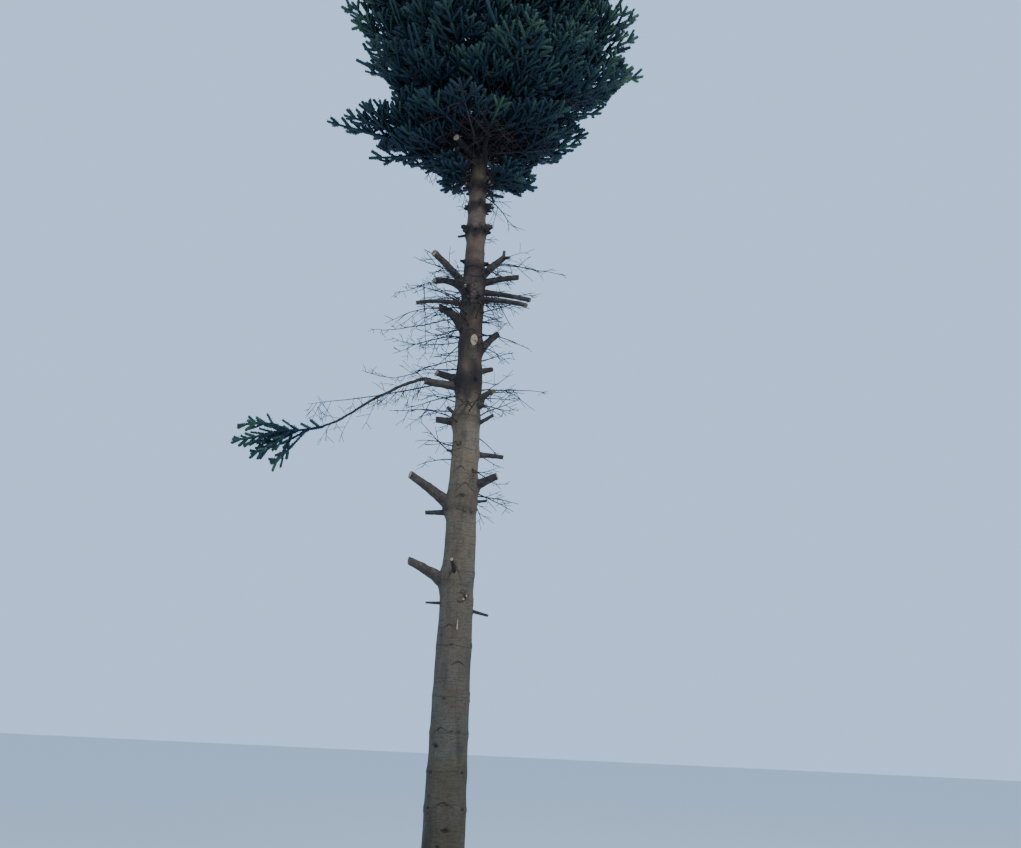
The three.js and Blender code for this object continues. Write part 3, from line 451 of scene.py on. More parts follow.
# Boughs that fill the crown's outline beside the others: ring, height, azimuth, rise, lift, length
FILLING_BOUGHS = [
    (3, 7.24, 189, 11, 13, 1.36), (3, 7.14, 350, 14, 16, 1.46), (3, 7.36, 336, 12, 14, 1.3),
    (4, 7.62, 186, 14, 14, 1.3), (2, 6.8, 316, 4, 12, 1.12), (4, 7.7, 2, 16, 14, 1.36),
    (1, 6.42, 232, 4, 8, 0.78), (3, 7.02, 0, 17, 16, 1.5), (3, 7.1, 196, 8, 12, 1.24),
    (0, 6.14, 210, -18, 4, 0.34), (0, 6.16, 166, -14, 6, 0.38), (0, 6.1, 330, -22, 8, 0.48),
    (0, 6.2, 22, -14, 6, 0.46), (0, 6.2, 75, -8, 6, 0.5), (0, 6.22, 120, -8, 6, 0.48),
    (0, 6.22, 192, -6, 4, 0.42), (6, 8.7, 20, 34, 12, 1.0), (6, 8.75, 270, 34, 12, 0.98),
    (6, 9.3, 60, 40, 10, 0.74), (6, 9.25, 180, 40, 10, 0.76), (6, 9.28, 300, 40, 10, 0.75),
    (7, 9.9, 130, 46, 8, 0.46), (7, 9.92, 250, 46, 8, 0.45), (7, 9.9, 10, 46, 8, 0.46),
    (7, 10.08, 70, 48, 8, 0.36), (7, 10.1, 190, 48, 8, 0.35), (7, 10.08, 310, 48, 8, 0.36),
    (7, 10.2, 20, 50, 6, 0.26), (7, 10.2, 140, 50, 6, 0.26), (7, 10.2, 260, 50, 6, 0.26),
    (0, 6.08, 176, -26, 8, 0.34), (0, 6.14, 350, -8, 6, 0.5), (0, 6.14, 8, -12, 8, 0.46),
    (0, 6.14, 200, -10, 4, 0.4), (1, 6.44, 288, 2, 8, 0.62), (1, 6.48, 160, 2, 8, 0.9),
    (1, 6.46, 330, 2, 8, 0.86), (1, 6.42, 184, 5, 9, 1.2), (2, 6.6, 20, 5, 12, 1.02),
    (1, 6.36, 177, -7, 4, 0.96),
    (4, 7.62, 262, 18, 14, 1.3), (3, 7.2, 276, 13, 12, 1.36),
]
# Boughs that catch the light, by ring and azimuth: they are lighter, and not bare in front
BRIGHT_BOUGHS = {(1, 288): 0.5, (2, 292): 0.2, (1, 184): 0.1, (2, 253): 0.05}

# Camera, worked out from the photo: place, upward tilt, roll and field of view
CAMERA_PLACE = (0.315, -7.3, 1.6)
CAMERA_TILT = 17.7
CAMERA_ROLL = 2.7
FOCAL_PIXELS = 980
PHOTO_WIDTH = 1021
SENSOR_WIDTH = 36
CLIP_END = 200

# Stage: a wide floor just below the trunk's foot, the sky and one soft light that looks down at the tree
FLOOR = {"size": 160, "below": 0.001, "colour": (212, 213, 214), "roughness": 0.9}
SKY = {"colour": (180, 212, 250), "strength": 1.25}
SOFT_LIGHT = {"place": (6, -9, 13), "from": (6, -9, 8), "size": 8, "energy": 900}


# Shared growth rules

def seeded(seed):
    """Repeatable random numbers from 0 to 1, by the source's rule."""
    state = seed

    def draw():
        nonlocal state
        state = (state * 1664525 + 1013904223) % 4294967296
        return state / 4294967296

    return draw


def chosen(draw, least, more):
    """A number that chance puts between least and more above it."""
    return least + more * draw()


def astray(draw, width=1):
    """A number that chance puts within half of width of nothing."""
    return width * (draw() - 0.5)


def sway(draw, width):
    """A step that chance puts to any side."""
    return Vector([astray(draw) for _ in range(3)]) * width


def heading(azimuth, rise):
    across = math.cos(math.radians(rise))
    turn = math.radians(azimuth)
    return Vector((math.cos(turn) * across, math.sin(turn) * across, math.sin(math.radians(rise))))


def trunk_axis(height):
    turn = 2 * math.pi * height / SWAY_LENGTH
    return Vector((LEAN * height - SWAY * math.sin(turn), SWAY * (1 - math.cos(turn)) * SWAY_AWAY, height))


def trunk_radius(height):
    return TIP_RADIUS + TAPER * (TRUNK_HEIGHT - height) + FLARE * math.exp(-height / FLARE_FADE)


def bark_point(height, azimuth):
    return trunk_axis(height) + heading(azimuth, 0) * trunk_radius(height)


def course(start, azimuth, rise, bend, length, steps=COURSE_STEPS):
    """Points along a limb whose rise changes by bend over its length."""
    points = [start.copy()]
    for i in range(steps):
        points.append(points[i] + heading(azimuth, rise + bend * (i + 0.5) / steps) * (length / steps))
    return points


def along(points, t):
    place = min(max(t, 0), 1) * (len(points) - 1)
    i = min(int(place), len(points) - 2)
    return points[i].lerp(points[i + 1], place - i)


def direction_at(points, t):
    return (along(points, t + NEARBY) - along(points, t - NEARBY)).normalized()


def spray_frame(tangent, roll=0):
    side = tangent.cross(UP)
    side = side.normalized() if side.length > 1e-3 else Vector((1, 0, 0))
    side.rotate(Quaternion(tangent, math.radians(roll)))
    return side, side.cross(tangent).normalized()


def sideways(tangent, hand, turn, tilt, roll=0):
    """Direction that leaves tangent by turn degrees to one hand and tilt degrees out of the spray's plane."""
    side, face = spray_frame(tangent, roll)
    turn = math.radians(turn)
    leaving = tangent * math.cos(turn) + side * (hand * math.sin(turn)) + face * math.tan(math.radians(tilt))
    return leaving.normalized()


# Meshes made from arrays

# A tube's rings are laid out from the vertical, or where it is nearly upright itself, from another way
NEARLY_UPRIGHT = 0.95
OTHER_WAY = (0.6, 0.8, 0.0)


class Gathered:
    """Triangles of many small shapes, kept until they become one mesh."""

    def __init__(self):
        self.points = []
        self.faces = []
        self.tones = []
        self.count = 0

    def add(self, points, faces, tone=0):
        self.points.append(points)
        self.faces.append(faces + self.count)
        self.tones.append(np.full(len(faces), tone, np.int32))
        self.count += len(points)

    def triangles(self):
        return sum(len(faces) for faces in self.faces)

    def make(self, name, materials):
        points = np.concatenate(self.points).astype(np.float32)
        faces = np.concatenate(self.faces).astype(np.int32)
        mesh = bpy.data.meshes.new(name)
        mesh.vertices.add(len(points))
        mesh.vertices.foreach_set("co", points.ravel())
        mesh.loops.add(faces.size)
        mesh.loops.foreach_set("vertex_index", faces.ravel())
        mesh.polygons.add(len(faces))
        mesh.polygons.foreach_set("loop_start", np.arange(0, faces.size, 3, dtype=np.int32))
        mesh.polygons.foreach_set("material_index", np.concatenate(self.tones))
        for material in materials:
            mesh.materials.append(material)
        mesh.update(calc_edges=True)
        piece = bpy.data.objects.new(name, mesh)
        bpy.context.scene.collection.objects.link(piece)
        return piece


def tube(points, radii, sides):
    """A closed round tube along points."""
    centres = np.array([tuple(p) for p in points])
    tangents = np.gradient(centres, axis=0)
    tangents /= np.linalg.norm(tangents, axis=1)[:, None]
    level = abs(tangents[:, 2]).max() < NEARLY_UPRIGHT
    lie = np.array((0.0, 0.0, 1.0) if level else OTHER_WAY)
    side = np.cross(tangents, lie)
    side /= np.linalg.norm(side, axis=1)[:, None]
    other = np.cross(tangents, side)
    angle = np.arange(sides) * 2 * math.pi / sides
    spokes = np.cos(angle)[None, :, None] * side[:, None] + np.sin(angle)[None, :, None] * other[:, None]
    rings = centres[:, None] + spokes * np.asarray(radii)[:, None, None]
    base = np.arange(len(centres) - 1)[:, None] * sides
    near = np.arange(sides)[None, :]
    far = (near + 1) % sides
    a, b, c, d = base + near, base + far, base + sides + far, base + sides + near
    walls = np.concatenate([np.stack([a, c, b], -1).reshape(-1, 3), np.stack([a, d, c], -1).reshape(-1, 3)])
    fan = np.arange(1, sides - 1)
    foot = np.stack([np.zeros_like(fan), fan, fan + 1], -1)
    end = np.stack([np.zeros_like(fan), fan + 1, fan], -1) + (len(centres) - 1) * sides
    return rings.reshape(-1, 3), np.concatenate([walls, foot, end])


def needle_shoot(length, seed):
    """One year's shoot, along +Z from the origin: a slim core of crowded needle bases and the needles."""
    draw = seeded(seed)
    count = round(length * NEEDLES_PER_METRE)
    core, core_faces = tube(
        [(0, 0, place * length) for place, _ in CORE_PROFILE],
        [share * CORE_RADIUS for _, share in CORE_PROFILE],
        CORE_SIDES,
    )
    points = [core]
    faces = [core_faces]
    first = len(core)
    for i in range(count):
        t = (i + NEEDLE_PLACE["along"] * draw()) / count
        angle = i * math.radians(GOLDEN_ANGLE) + NEEDLE_PLACE["turn"] * draw()
        out = Vector((math.cos(angle), math.sin(angle), 0))
        across = Vector((-math.sin(angle), math.cos(angle), 0))
        lean = NEEDLE_LEAN["foot"] - NEEDLE_LEAN["closing"] * t ** 4 + astray(draw, NEEDLE_LEAN["vary"])
        lean = math.radians(lean)
        ray = out * math.sin(lean) + Vector((0, NEEDLE_LEAN["lift"], math.cos(lean)))
        fullness = math.sin(math.pi * min(1, t + NEEDLE_REACH["shift"]))
        reach = NEEDLE_LENGTH * (NEEDLE_REACH["ends"] + NEEDLE_REACH["middle"] * fullness)
        reach *= chosen(draw, *NEEDLE_REACH["vary"])
        root = Vector((0, 0, t * length * NEEDLE_PLACE["last"])) + out * NEEDLE_PLACE["sunk"] * CORE_RADIUS
        widest = root + ray * (NEEDLE_PLACE["widest"] * reach)
        half = across * (0.5 * NEEDLE_WIDTH)
        tip = root + ray * reach
        points.append(np.array([root, widest + half, tip, widest - half]))
        faces.append(np.array([[0, 1, 2], [0, 2, 3]]) + first)
        first += 4
    return np.concatenate(points), np.concatenate(faces)


SHOOT_KINDS = {
    length: [needle_shoot(length, SEEDS["shoots"] + k + round(1000 * length)) for k in range(SHOOT_COPIES)]
    for length in SHOOT_LENGTHS
}


def place_shoot(gathered, start, end, tone, turn, girth=1.0):
    """Lays a copy of the nearest kind of shoot from start to end, rolled by turn."""
    axis = end - start
    length = axis.length
    kind = min(SHOOT_LENGTHS, key=lambda known: abs(known - length))
    points, faces = SHOOT_KINDS[kind][int(turn * SHOOT_COPIES) % SHOOT_COPIES]
    ahead = axis / length
    side, face = spray_frame(ahead)
    roll = Quaternion(ahead, (turn - 0.5) * SHOOT_ROLL)
    side.rotate(roll)
    face.rotate(roll)
    basis = np.array([tuple(side * girth), tuple(face * girth), tuple(ahead * (length / kind))])
    gathered.add(points @ basis + np.array(tuple(start)), faces, tone)


# Growth of live branches

class Growth:
    """What grows on one bough: shoots that bear needles, and the wood between them."""

    def __init__(self, seed, bare, bright=0.0, turns=LATERAL_ANGLES, roll=0, short_side=1.0, droop=0.0,
                 sweep=0.1, ratio=LATERAL_RATIO, shoot=SHOOT, orders=3, girth=1.0, long_shoots=0.0):
        self.draw = seeded(seed)
        self.bare = bare
        self.bright = bright
        self.turns = turns
        self.roll = roll
        self.short_side = short_side
        self.droop = droop
        self.sweep = sweep
        self.ratio = ratio
        self.shoot = shoot
        self.orders = orders
        self.girth = girth
        self.long_shoots = long_shoots
        self.inner = []
        self.shoots = []
        self.wood = []

    def bears_needles(self, place):
        out = place - trunk_axis(place.z)
        return math.hypot(out.x, out.y) > self.bare * chosen(self.draw, *BARE_EDGE)

    def branch(self, points, length, root, order=0):
        """Needles on a branch's outer part, side branches in pairs that shorten towards its tip."""
        draw = self.draw
        count = max(1, round(length / self.shoot))
        joints = [along(points, i / count) for i in range(count + 1)]
        needled = [self.bears_needles(joints[i].lerp(joints[i + 1], 0.5)) for i in range(count)]
        for i in range(count):
            if needled[i]:
                self.shoots.append((joints[i], joints[i + 1], (i + 1) / count, order, draw()))
        last = count if order < WOODY_ORDERS else needled.index(True) if True in needled else count
        if last > 0:
            radii = [root + (BRANCH_TIP - root) * i / count for i in range(last + 1)]
            self.wood.append((joints[:last + 1], radii, order))
        long_enough = order == LONG_SHOOT["branch_order"] and length > LONG_SHOOT["branch"]
        if long_enough and needled[-1] and draw() < self.long_shoots:
            lifted = (direction_at(points, 1) + UP * (LONG_SHOOT["lift"] * draw())).normalized()
            end = joints[-1] + lifted * LONG_SHOOT["length"]
            self.shoots.append((joints[-1], end, 1, LONG_SHOOT["order"], draw()))
        if order >= self.orders:
            return
        for i in range(1, count):
            t = i / count
            left = length * (1 - t)
            ahead = direction_at(points, t)
            for hand in (-1, 1):
                reach = (self.ratio * left + LATERAL_EXTRA) * chosen(draw, *SIDE_BRANCH["reach"])
                reach *= self.short_side if hand < 0 else 1
                turn = self.turns[order] + astray(draw, SIDE_BRANCH["turn"])
                tilt = self.droop + SIDE_BRANCH["tilt"] * (draw() - SIDE_BRANCH["tilt_middle"])
                if draw() < SIDE_BRANCH["missing"] * order:
                    continue
                way = sideways(ahead, hand, turn, tilt, self.roll)
                side_points = self.bowed(joints[i], way, ahead, reach)
                side_root = max(THINNEST_BRANCH, root * (SIDE_BRANCH["girth"] - SIDE_BRANCH["taper"] * t))
                self.branch(side_points, reach, side_root, order + 1)
            if order < UPRIGHT_SHOOT["order"] and draw() < UPRIGHT_SHOOT["chance"]:
                up_way = (ahead + UP * chosen(draw, *UPRIGHT_SHOOT["lift"])).normalized()
                reach = self.shoot * chosen(draw, *UPRIGHT_SHOOT["reach"])
                self.branch([joints[i], joints[i] + up_way * reach], reach, THINNEST_BRANCH, self.orders)

    def bowed(self, start, way, ahead, reach):
        """A side branch curves a little towards the way its stem grows, and its tip lifts."""
        steps = BOWING["steps"]
        points = [start.copy()]
        for i in range(steps):
            bend = (i + 0.5) / steps
            step = way + ahead * (BOWING["forward"] * bend) + UP * (self.sweep * bend)
            step = (step + sway(self.draw, BOWING["sway"])).normalized()
            points.append(points[i] + step * (reach / steps))
        return points

    def tone_of(self, share, order, place, chance):
        """Lighter towards the tips, and lighter outwards and on bright boughs as painted light; deeper inside
        as painted shade.
        """
        out = place - trunk_axis(place.z)
        light = LIGHTNESS["tip"] * share + LIGHTNESS["chance"] * chance
        light += LIGHTNESS["outward"] * math.hypot(out.x, out.y)
        light = light + self.bright - LIGHTNESS["order"] * order
        return sum(light >= step for step in TONE_STEPS)


def crown_boughs():
    """The source's boughs, and between them, half a ring higher, slightly shorter ones."""
    boughs = []
    for ring, (height, rise, lift, row) in enumerate(CROWN):
        share = RING_GROWTH[ring][3]
        next_height, next_rise = TRUNK_HEIGHT - TOP_RING["below_tip"], rise + TOP_RING["rise"]
        if ring + 1 < len(CROWN):
            next_height, next_rise = CROWN[ring + 1][:2]
        for i, (azimuth, length) in enumerate(row):
            boughs.append((height, azimuth, rise, lift, length, ring))
            if share == 0:
                continue
            next_azimuth, next_length = row[(i + 1) % len(row)]
            gap = (next_azimuth - azimuth) % 360
            between = 0.5 * (length + next_length) * share
            middle = 0.5 * (height + next_height)
            boughs.append((middle, azimuth + gap / 2, 0.5 * (rise + next_rise), lift, between, ring))
    for ring, height, azimuth, rise, lift, length in FILLING_BOUGHS:
        boughs.append((height, azimuth, rise, lift, length, ring))
    return boughs


def grow_crown():
    """Each ring's needles and wood, as lists of growths."""
    rings = [[] for _ in CROWN]
    for index, (height, azimuth, rise, lift, length, ring) in enumerate(crown_boughs()):
        bough = (ring, round(azimuth) % 360)
        sunk = BOUGH_FOOT["sunk"] * trunk_radius(height)
        length *= EASED_BOUGHS.get(bough, 1)
        start = bark_point(height, azimuth) - heading(azimuth, rise) * sunk
        whole = length - sunk
        bare, droop, sweep, _, lighter = RING_GROWTH[ring]
        in_front = BARE_FRONT["from"] < azimuth % 360 < BARE_FRONT["to"]
        if ring <= BARE_FRONT["rings"] and in_front and bough not in BRIGHT_BOUGHS:
            bare += BARE_FRONT["share"]
        long_shoots = LONG_SHOOT["front" if in_front else "sides"] if ring >= LONG_SHOOT["ring"] else 0
        growth = Growth(
            SEEDS["crown"] + SEED_STEPS["crown"] * index, bare=bare * length + BOUGH_FOOT["bare"],
            bright=lighter + BRIGHT_BOUGHS.get(bough, 0), short_side=SHORT_SIDES.get(bough, 1),
            droop=droop, sweep=sweep, long_shoots=long_shoots,
        )
        points = course(start, azimuth, rise, lift, whole)
        growth.branch(points, whole, max(BOUGH_FOOT["thinnest"], BOUGH_FOOT["girth"] * length))
        draw = growth.draw
        for _ in range(INNER_TWIGS[ring]):
            place = along(points, INNER_TWIG["from"] + (bare + INNER_TWIG["past"]) * draw())
            way = Vector((astray(draw), astray(draw), INNER_TWIG["rise"] * draw() - INNER_TWIG["fall"]))
            growth.inner.append((place, way.normalized(), chosen(draw, *INNER_TWIG["length"])))
        rings[ring].append(growth)
    return rings


def leader_growth():
    """The shoot that carries on from the trunk's tip, and its ring of arms."""
    growth = Growth(SEEDS["leader"], bare=0.0, bright=LEADER["bright"], orders=1)
    foot = trunk_axis(TRUNK_HEIGHT)
    growth.branch([foot, foot + UP * LEADER["length"]], LEADER["length"], LEADER["root"], 1)
    for i in range(LEADER["arms"]):
        way = heading(LEADER["azimuth"] + 360 / LEADER["arms"] * i, LEADER["rise"])
        growth.branch([foot, foot + way * LEADER["arm"]], LEADER["arm"], LEADER["arm_root"], 0)
    return growth


def make_foliage(name, growths, nodes, materials):
    """Meshes of needles, as many as the limit asks for, and one of wood for these growths."""
    needles = [Gathered()]
    wood = Gathered()
    for growth in growths:
        if needles[-1].triangles() > PIECE_LIMIT:
            needles.append(Gathered())
        for start, end, share, order, chance in growth.shoots:
            tone = growth.tone_of(share, order, start.lerp(end, 0.5), chance)
            place_shoot(needles[-1], start, end, tone, chance, growth.girth)
        for points, radii, order in growth.wood:
            wood.add(*tube(points, radii, WOOD_SIDES[order]))
        for start, way, length in growth.inner:
            dead_twigs(wood, start, way, length, INNER_TWIG["radius"], growth.draw, order=1)
    tones = [materials[tone] for tone in TONES]
    for i, gathered in enumerate(needles):
        carried(gathered.make(f"{name}_needles_{i + 1}", tones), "needles", *nodes)
    carried(wood.make(f"{name}_wood", [materials["twig"]]), "dead_twig", *nodes)


# Dead twigs

def dead_twigs(gathered, start, way, length, radius, draw, order=0, orders=2):
    """A thin crooked twig with side twigs on alternate hands, each forking again."""
    steps = max(DEAD_TWIG["least_joints"], round(length / DEAD_TWIG["joint"]))
    points = [start.copy()]
    ahead = way.copy()
    for i in range(steps):
        ahead = ahead + sway(draw, DEAD_TWIG["crooked"]) + UP * DEAD_TWIG["sag"]
        ahead.normalize()
        points.append(points[i] + ahead * (length / steps))
    radii = [radius + (TWIG_TIP - radius) * i / steps for i in range(steps + 1)]
    gathered.add(*tube(points, radii, STEM_SIDES if order == 0 else TWIG_SIDES))
    if order >= orders:
        return
    for i in range(1, steps):
        if draw() < DEAD_TWIG["missing"]:
            continue
        t = i / steps
        hand = 1 if i % 2 else -1
        tangent = (points[i + 1] - points[i - 1]).normalized()
        way_out = sideways(tangent, hand, chosen(draw, *DEAD_TWIG["turn"]), astray(draw, DEAD_TWIG["tilt"]))
        reach = length * (1 - t) * DEAD_TWIG["share"] + DEAD_TWIG["extra"]
        reach *= chosen(draw, *DEAD_TWIG["reach"])
        side_radius = max(DEAD_TWIG["thinnest"], radius * DEAD_TWIG["girth"])
        dead_twigs(gathered, points[i], way_out, reach, side_radius, draw, order + 1, orders)


def drawn_twig(gathered, corners, radius, draw):
    """A long twig through given points, a little crooked, with a few short side twigs."""
    joints = DRAWN_TWIG["joints"]
    points = [along(corners, i / joints) for i in range(joints + 1)]
    for point in points[1:]:
        point += sway(draw, DRAWN_TWIG["crooked"])
    gathered.add(*tube(points, np.linspace(radius, TWIG_TIP, joints + 1), DRAWN_TWIG["sides"]))
    for i in range(DRAWN_TWIG["first"], joints, 2):
        tangent = (points[i + 1] - points[i - 1]).normalized()
        hand = 1 if draw() < 0.5 else -1
        way_out = sideways(tangent, hand, chosen(draw, *DRAWN_TWIG["turn"]), astray(draw, DRAWN_TWIG["tilt"]))
        reach = DRAWN_TWIG["reach"] + DRAWN_TWIG["longer"] * draw() ** 2
        dead_twigs(gathered, points[i], way_out, reach, DRAWN_TWIG["radius"], draw, order=1)


def dead_spray(node, index, material):
    """A dead spray, the single twigs that stand out of it and those round the pole beside it."""
    height, azimuth, rise, length = DEAD_SPRAYS[node]
    spray = Gathered()
    draw = seeded(SEEDS["dead_sprays"] + SEED_STEPS["dead_sprays"] * index)
    start = bark_point(height, azimuth) - heading(azimuth, rise) * SPRAY_SUNK
    dead_twigs(spray, start, heading(azimuth, rise), length, SPRAY_ROOT, draw)
    for radius, corners in DRAWN_TWIGS.get(node, []):
        drawn_twig(spray, [Vector(corner) for corner in corners], radius, draw)
    low, high, count, longest = POLE_TWIGS[node]
    middle = 180 if "left" in node else 0
    for _ in range(count):
        place = low + (high - low) * draw()
        beside = draw() < POLE_TWIG["beside"]
        side = middle + astray(draw, POLE_TWIG["turn"]) if beside else 360 * draw()
        aim = heading(side, astray(draw, POLE_TWIG["steep"]))
        reach = longest * chosen(draw, *POLE_TWIG["reach"])
        start = bark_point(place, side) - aim * POLE_TWIG["sunk"]
        dead_twigs(spray, start, aim, reach, POLE_TWIG["radius"] + POLE_TWIG["thicker"] * reach, draw)
    return spray.make(node + "_twigs", [material])


# Limbs modelled ring by ring

def start_limb(sides, radius, place, tilt):
    """A filled ring at its place, in edit mode, tilted towards +X."""
    bpy.ops.object.select_all(action="DESELECT")
    bpy.ops.mesh.primitive_circle_add(
        vertices=sides, radius=radius, fill_type="NGON", location=place, rotation=(0, math.radians(tilt), 0)
    )
    bpy.ops.object.mode_set(mode="EDIT")
    bpy.ops.mesh.select_all(action="SELECT")
    return bpy.context.object


def extrude_ring(step, here, growth, turn=0.0):
    """Pulls the end ring on by step, turns it and resizes it about its new centre."""
    bpy.ops.mesh.extrude_region_move(TRANSFORM_OT_translate={"value": tuple(step)})
    if turn:
        bpy.ops.transform.rotate(value=math.radians(turn), orient_axis="Y", center_override=tuple(here))
    bpy.ops.transform.resize(value=(growth, growth, growth), center_override=tuple(here))


def finish_limb(piece, name, azimuth, levels):
    """Out of edit mode, turned to its azimuth, subdivided and placed in its mesh."""
    bpy.ops.object.mode_set(mode="OBJECT")
    piece.name = name
    piece.data.name = name
    piece.rotation_euler[2] = math.radians(azimuth)
    bpy.ops.object.transform_apply(location=True, rotation=True, scale=True)
    smooth = piece.modifiers.new("smooth", "SUBSURF")
    smooth.levels = levels
    smooth.render_levels = levels
    bpy.ops.object.modifier_apply(modifier=smooth.name)
    bpy.ops.object.shade_smooth_by_angle(angle=math.radians(SMOOTH_ANGLE))


def cut_limb(name, start, aim, whole, radius_at, finish, rough=None, sides=LIMB_SIDES, rings=LIMB_RINGS,
             slope=SQUARE_CUT):
    """A limb that ends in a flat sawn face: rings extruded along its course, a creased rim and insets.

    aim is its azimuth, rise and bend, finish its bark and the wood of its cut, and rough the amount and size
    of its unevenness.
    """
    azimuth, rise, bend = aim
    drop, turn = slope
    points = course(start, 0, rise, bend, whole, rings)
    piece = start_limb(sides, radius_at(0), start, 90 - rise)
    for i in range(rings):
        growth = radius_at((i + 1) / rings) / radius_at(i / rings)
        extrude_ring(points[i + 1] - points[i], points[i + 1], growth, bend / rings)
    tip = tuple(points[-1])
    bpy.ops.transform.rotate(value=math.radians(-drop), orient_axis="Y", center_override=tip)
    bpy.ops.transform.rotate(value=math.radians(-turn), orient_axis="Z", center_override=tip)
    over, across = math.cos(math.radians(drop)), math.cos(math.radians(turn))
    bpy.ops.transform.resize(value=(1 / (over * across), 1 / across, 1 / over), center_override=tip)
    bpy.ops.transform.edge_crease(value=1)
    for share in CUT_INSETS:
        bpy.ops.mesh.inset(thickness=share * radius_at(1))
    finish_limb(piece, name, azimuth, LIMB_LEVELS)
    end = start + Matrix.Rotation(math.radians(azimuth), 3, "Z") @ (points[-1] - start)
    sawn_face = min(piece.data.polygons, key=lambda polygon: (polygon.center - end).length)
    way = sawn_face.normal.copy()
    mark_cut(piece, end, way, *finish)
    if rough:
        roughen(piece, end, way, *rough)
    return piece


def mark_cut(piece, tip, way, bark, wood):
    """The sawn face gets its own material, and a distance from its middle for the rings."""
    piece.data.materials.clear()
    piece.data.materials.append(bark)
    piece.data.materials.append(wood)
    for polygon in piece.data.polygons:
        at_cut = (polygon.center - tip).dot(way) > -CUT_DEPTH
        polygon.material_index = 1 if at_cut and polygon.normal.dot(way) > CUT_FACING else 0
    ring = piece.data.attributes.new("ring", "FLOAT", "POINT")
    ring.data.foreach_set("value", [(vertex.co - tip).length for vertex in piece.data.vertices])


def roughen(piece, tip, way, amount, size):
    """Uneven bark: moves the surface in and out, but not the sawn face."""
    for vertex in piece.data.vertices:
        if (vertex.co - tip).dot(way) > -CUT_DEPTH:
            continue
        place = vertex.co / size
        lumps = noise.noise(place) + FINER_LUMPS["share"] * noise.noise(place * FINER_LUMPS["closer"])
        vertex.co += vertex.normal * (amount * lumps)


def stub_piece(name, materials):
    """A cut stub, wider at its foot where the trunk's bark runs up it."""
    height, azimuth, rise, bend, length, root, cut = STUBS[name]
    start = bark_point(height, azimuth) - heading(azimuth, rise) * STUB_SUNK
    whole = length + STUB_SUNK

    def radius_at(t):
        past = max(0, (t * whole - STUB_SUNK) / length)
        spread = root * (ROOT_SPREAD - 1) * math.exp(-past * COLLAR_FADE)
        return BARK_THICKNESS + cut + (root - cut) * (1 - past) + spread

    slope = SLOPING_CUTS.get(name, SQUARE_CUT)
    rings = STEEP["rings"] if slope[0] > STEEP["from"] else LIMB_RINGS
    bark = materials[STUB_BARK.get(name, "stub_bark")]
    wood = materials["sawn" if name in PALE_CUTS else "old_sawn"]
    rough = (STUB_ROUGH["share"] * cut, STUB_ROUGH["size"])
    return cut_limb(name + "_bark", start, (azimuth, rise, bend), whole, radius_at, (bark, wood), rough,
                    rings=rings, slope=slope)


def fork_prongs(materials):
    """Two short prongs that end the forked stub."""
    height, azimuth, rise, _, length, _, _ = STUBS[FORKED_STUB]
    tip = bark_point(height, azimuth) + heading(azimuth, rise) * length
    start = tip - heading(azimuth, rise) * FORK["back"]
    prongs = []
    for side in (-1, 1):
        aim = (azimuth + side * FORK["turn"], rise + side * FORK["spread"], 0)
        prongs.append(cut_limb(
            f"{FORKED_STUB}_prong_{len(prongs) + 1}", start, aim, FORK["length"],
            lambda t: FORK["radius"] * (1 - FORK["taper"] * t),
            (materials["stub_bark"], materials["old_sawn"]), FORK["rough"], FORK["sides"], FORK["rings"],
        ))
    return prongs


def short_limb(kind, row, materials):
    """A peg, small cut, broken base or callus, made as its kind is."""
    height, azimuth, rise, length, radius = row
    look = SHORT_LIMBS[kind]
    start = bark_point(height, azimuth) - heading(azimuth, 0 if look["level"] else rise) * look["sunk"]
    rough = look["rough"] and (look["rough"][0] * radius, look["rough"][1])
    return cut_limb(
        kind, start, (azimuth, rise, 0), length + look["sunk"],
        lambda t: radius * (look["foot"] - look["taper"] * t),
        [materials[name] for name in look["finish"]], rough, look["sides"], SHORT_RINGS, look["slope"],
    )


def ring_snags():
    """Broken twig bases by chance round each of the dark rings, after the single thick ones."""
    draw = seeded(SEEDS["snags"])
    snags = list(BROKEN_BASES)
    for ring_height, count in SNAG_RINGS:
        for i in range(count):
            azimuth = 360 / count * (i + SNAG["turn"] * draw())
            height = ring_height + astray(draw, SNAG["height"])
            length = SNAG["length"] * chosen(draw, *SNAG["longer"])
            rise = chosen(draw, *SNAG["rise"])
            snags.append((height, azimuth, rise, length, SNAG["radius"] * chosen(draw, *SNAG["thicker"])))
    return snags


def peg_piece(materials):
    """All the short limbs on the trunk, joined into one piece."""
    rows = {"peg": PEGS, "small_cut": SMALL_CUTS, "snag": ring_snags(), "callus": CALLUSES}
    return join([short_limb(kind, row, materials) for kind in rows for row in rows[kind]], "pegs")


def splinter_piece(materials):
    """A torn sliver of pale wood that stands off the bark."""
    height, azimuth = SPLINTER["height"], SPLINTER["azimuth"]
    start = bark_point(height, azimuth) - heading(azimuth, 0) * SPLINTER["sunk"]
    return cut_limb(
        "splinter", start, (azimuth, SPLINTER["rise"], SPLINTER["bend"]), SPLINTER["length"],
        lambda t: 0.5 * SPLINTER["width"] * (1 - SPLINTER["taper"] * t),
        (materials["sawn"], materials["sawn"]), SPLINTER["rough"], SPLINTER["sides"], SPLINTER["rings"],
    )


def join(pieces, name):
    bpy.ops.object.select_all(action="DESELECT")
    for piece in pieces:
        piece.select_set(True)
    bpy.context.view_layer.objects.active = pieces[0]
    bpy.ops.object.join()
    pieces[0].name = name
    return pieces[0]


# Trunk

def trunk_heights():
    bare = [i * BARE_STEP for i in range(1, round(BARE_HEIGHT / BARE_STEP) + 1)]
    count = round((TRUNK_HEIGHT - BARE_HEIGHT) / CROWN_STEP)
    return bare + [BARE_HEIGHT + (TRUNK_HEIGHT - BARE_HEIGHT) * (i + 1) / count for i in range(count)]


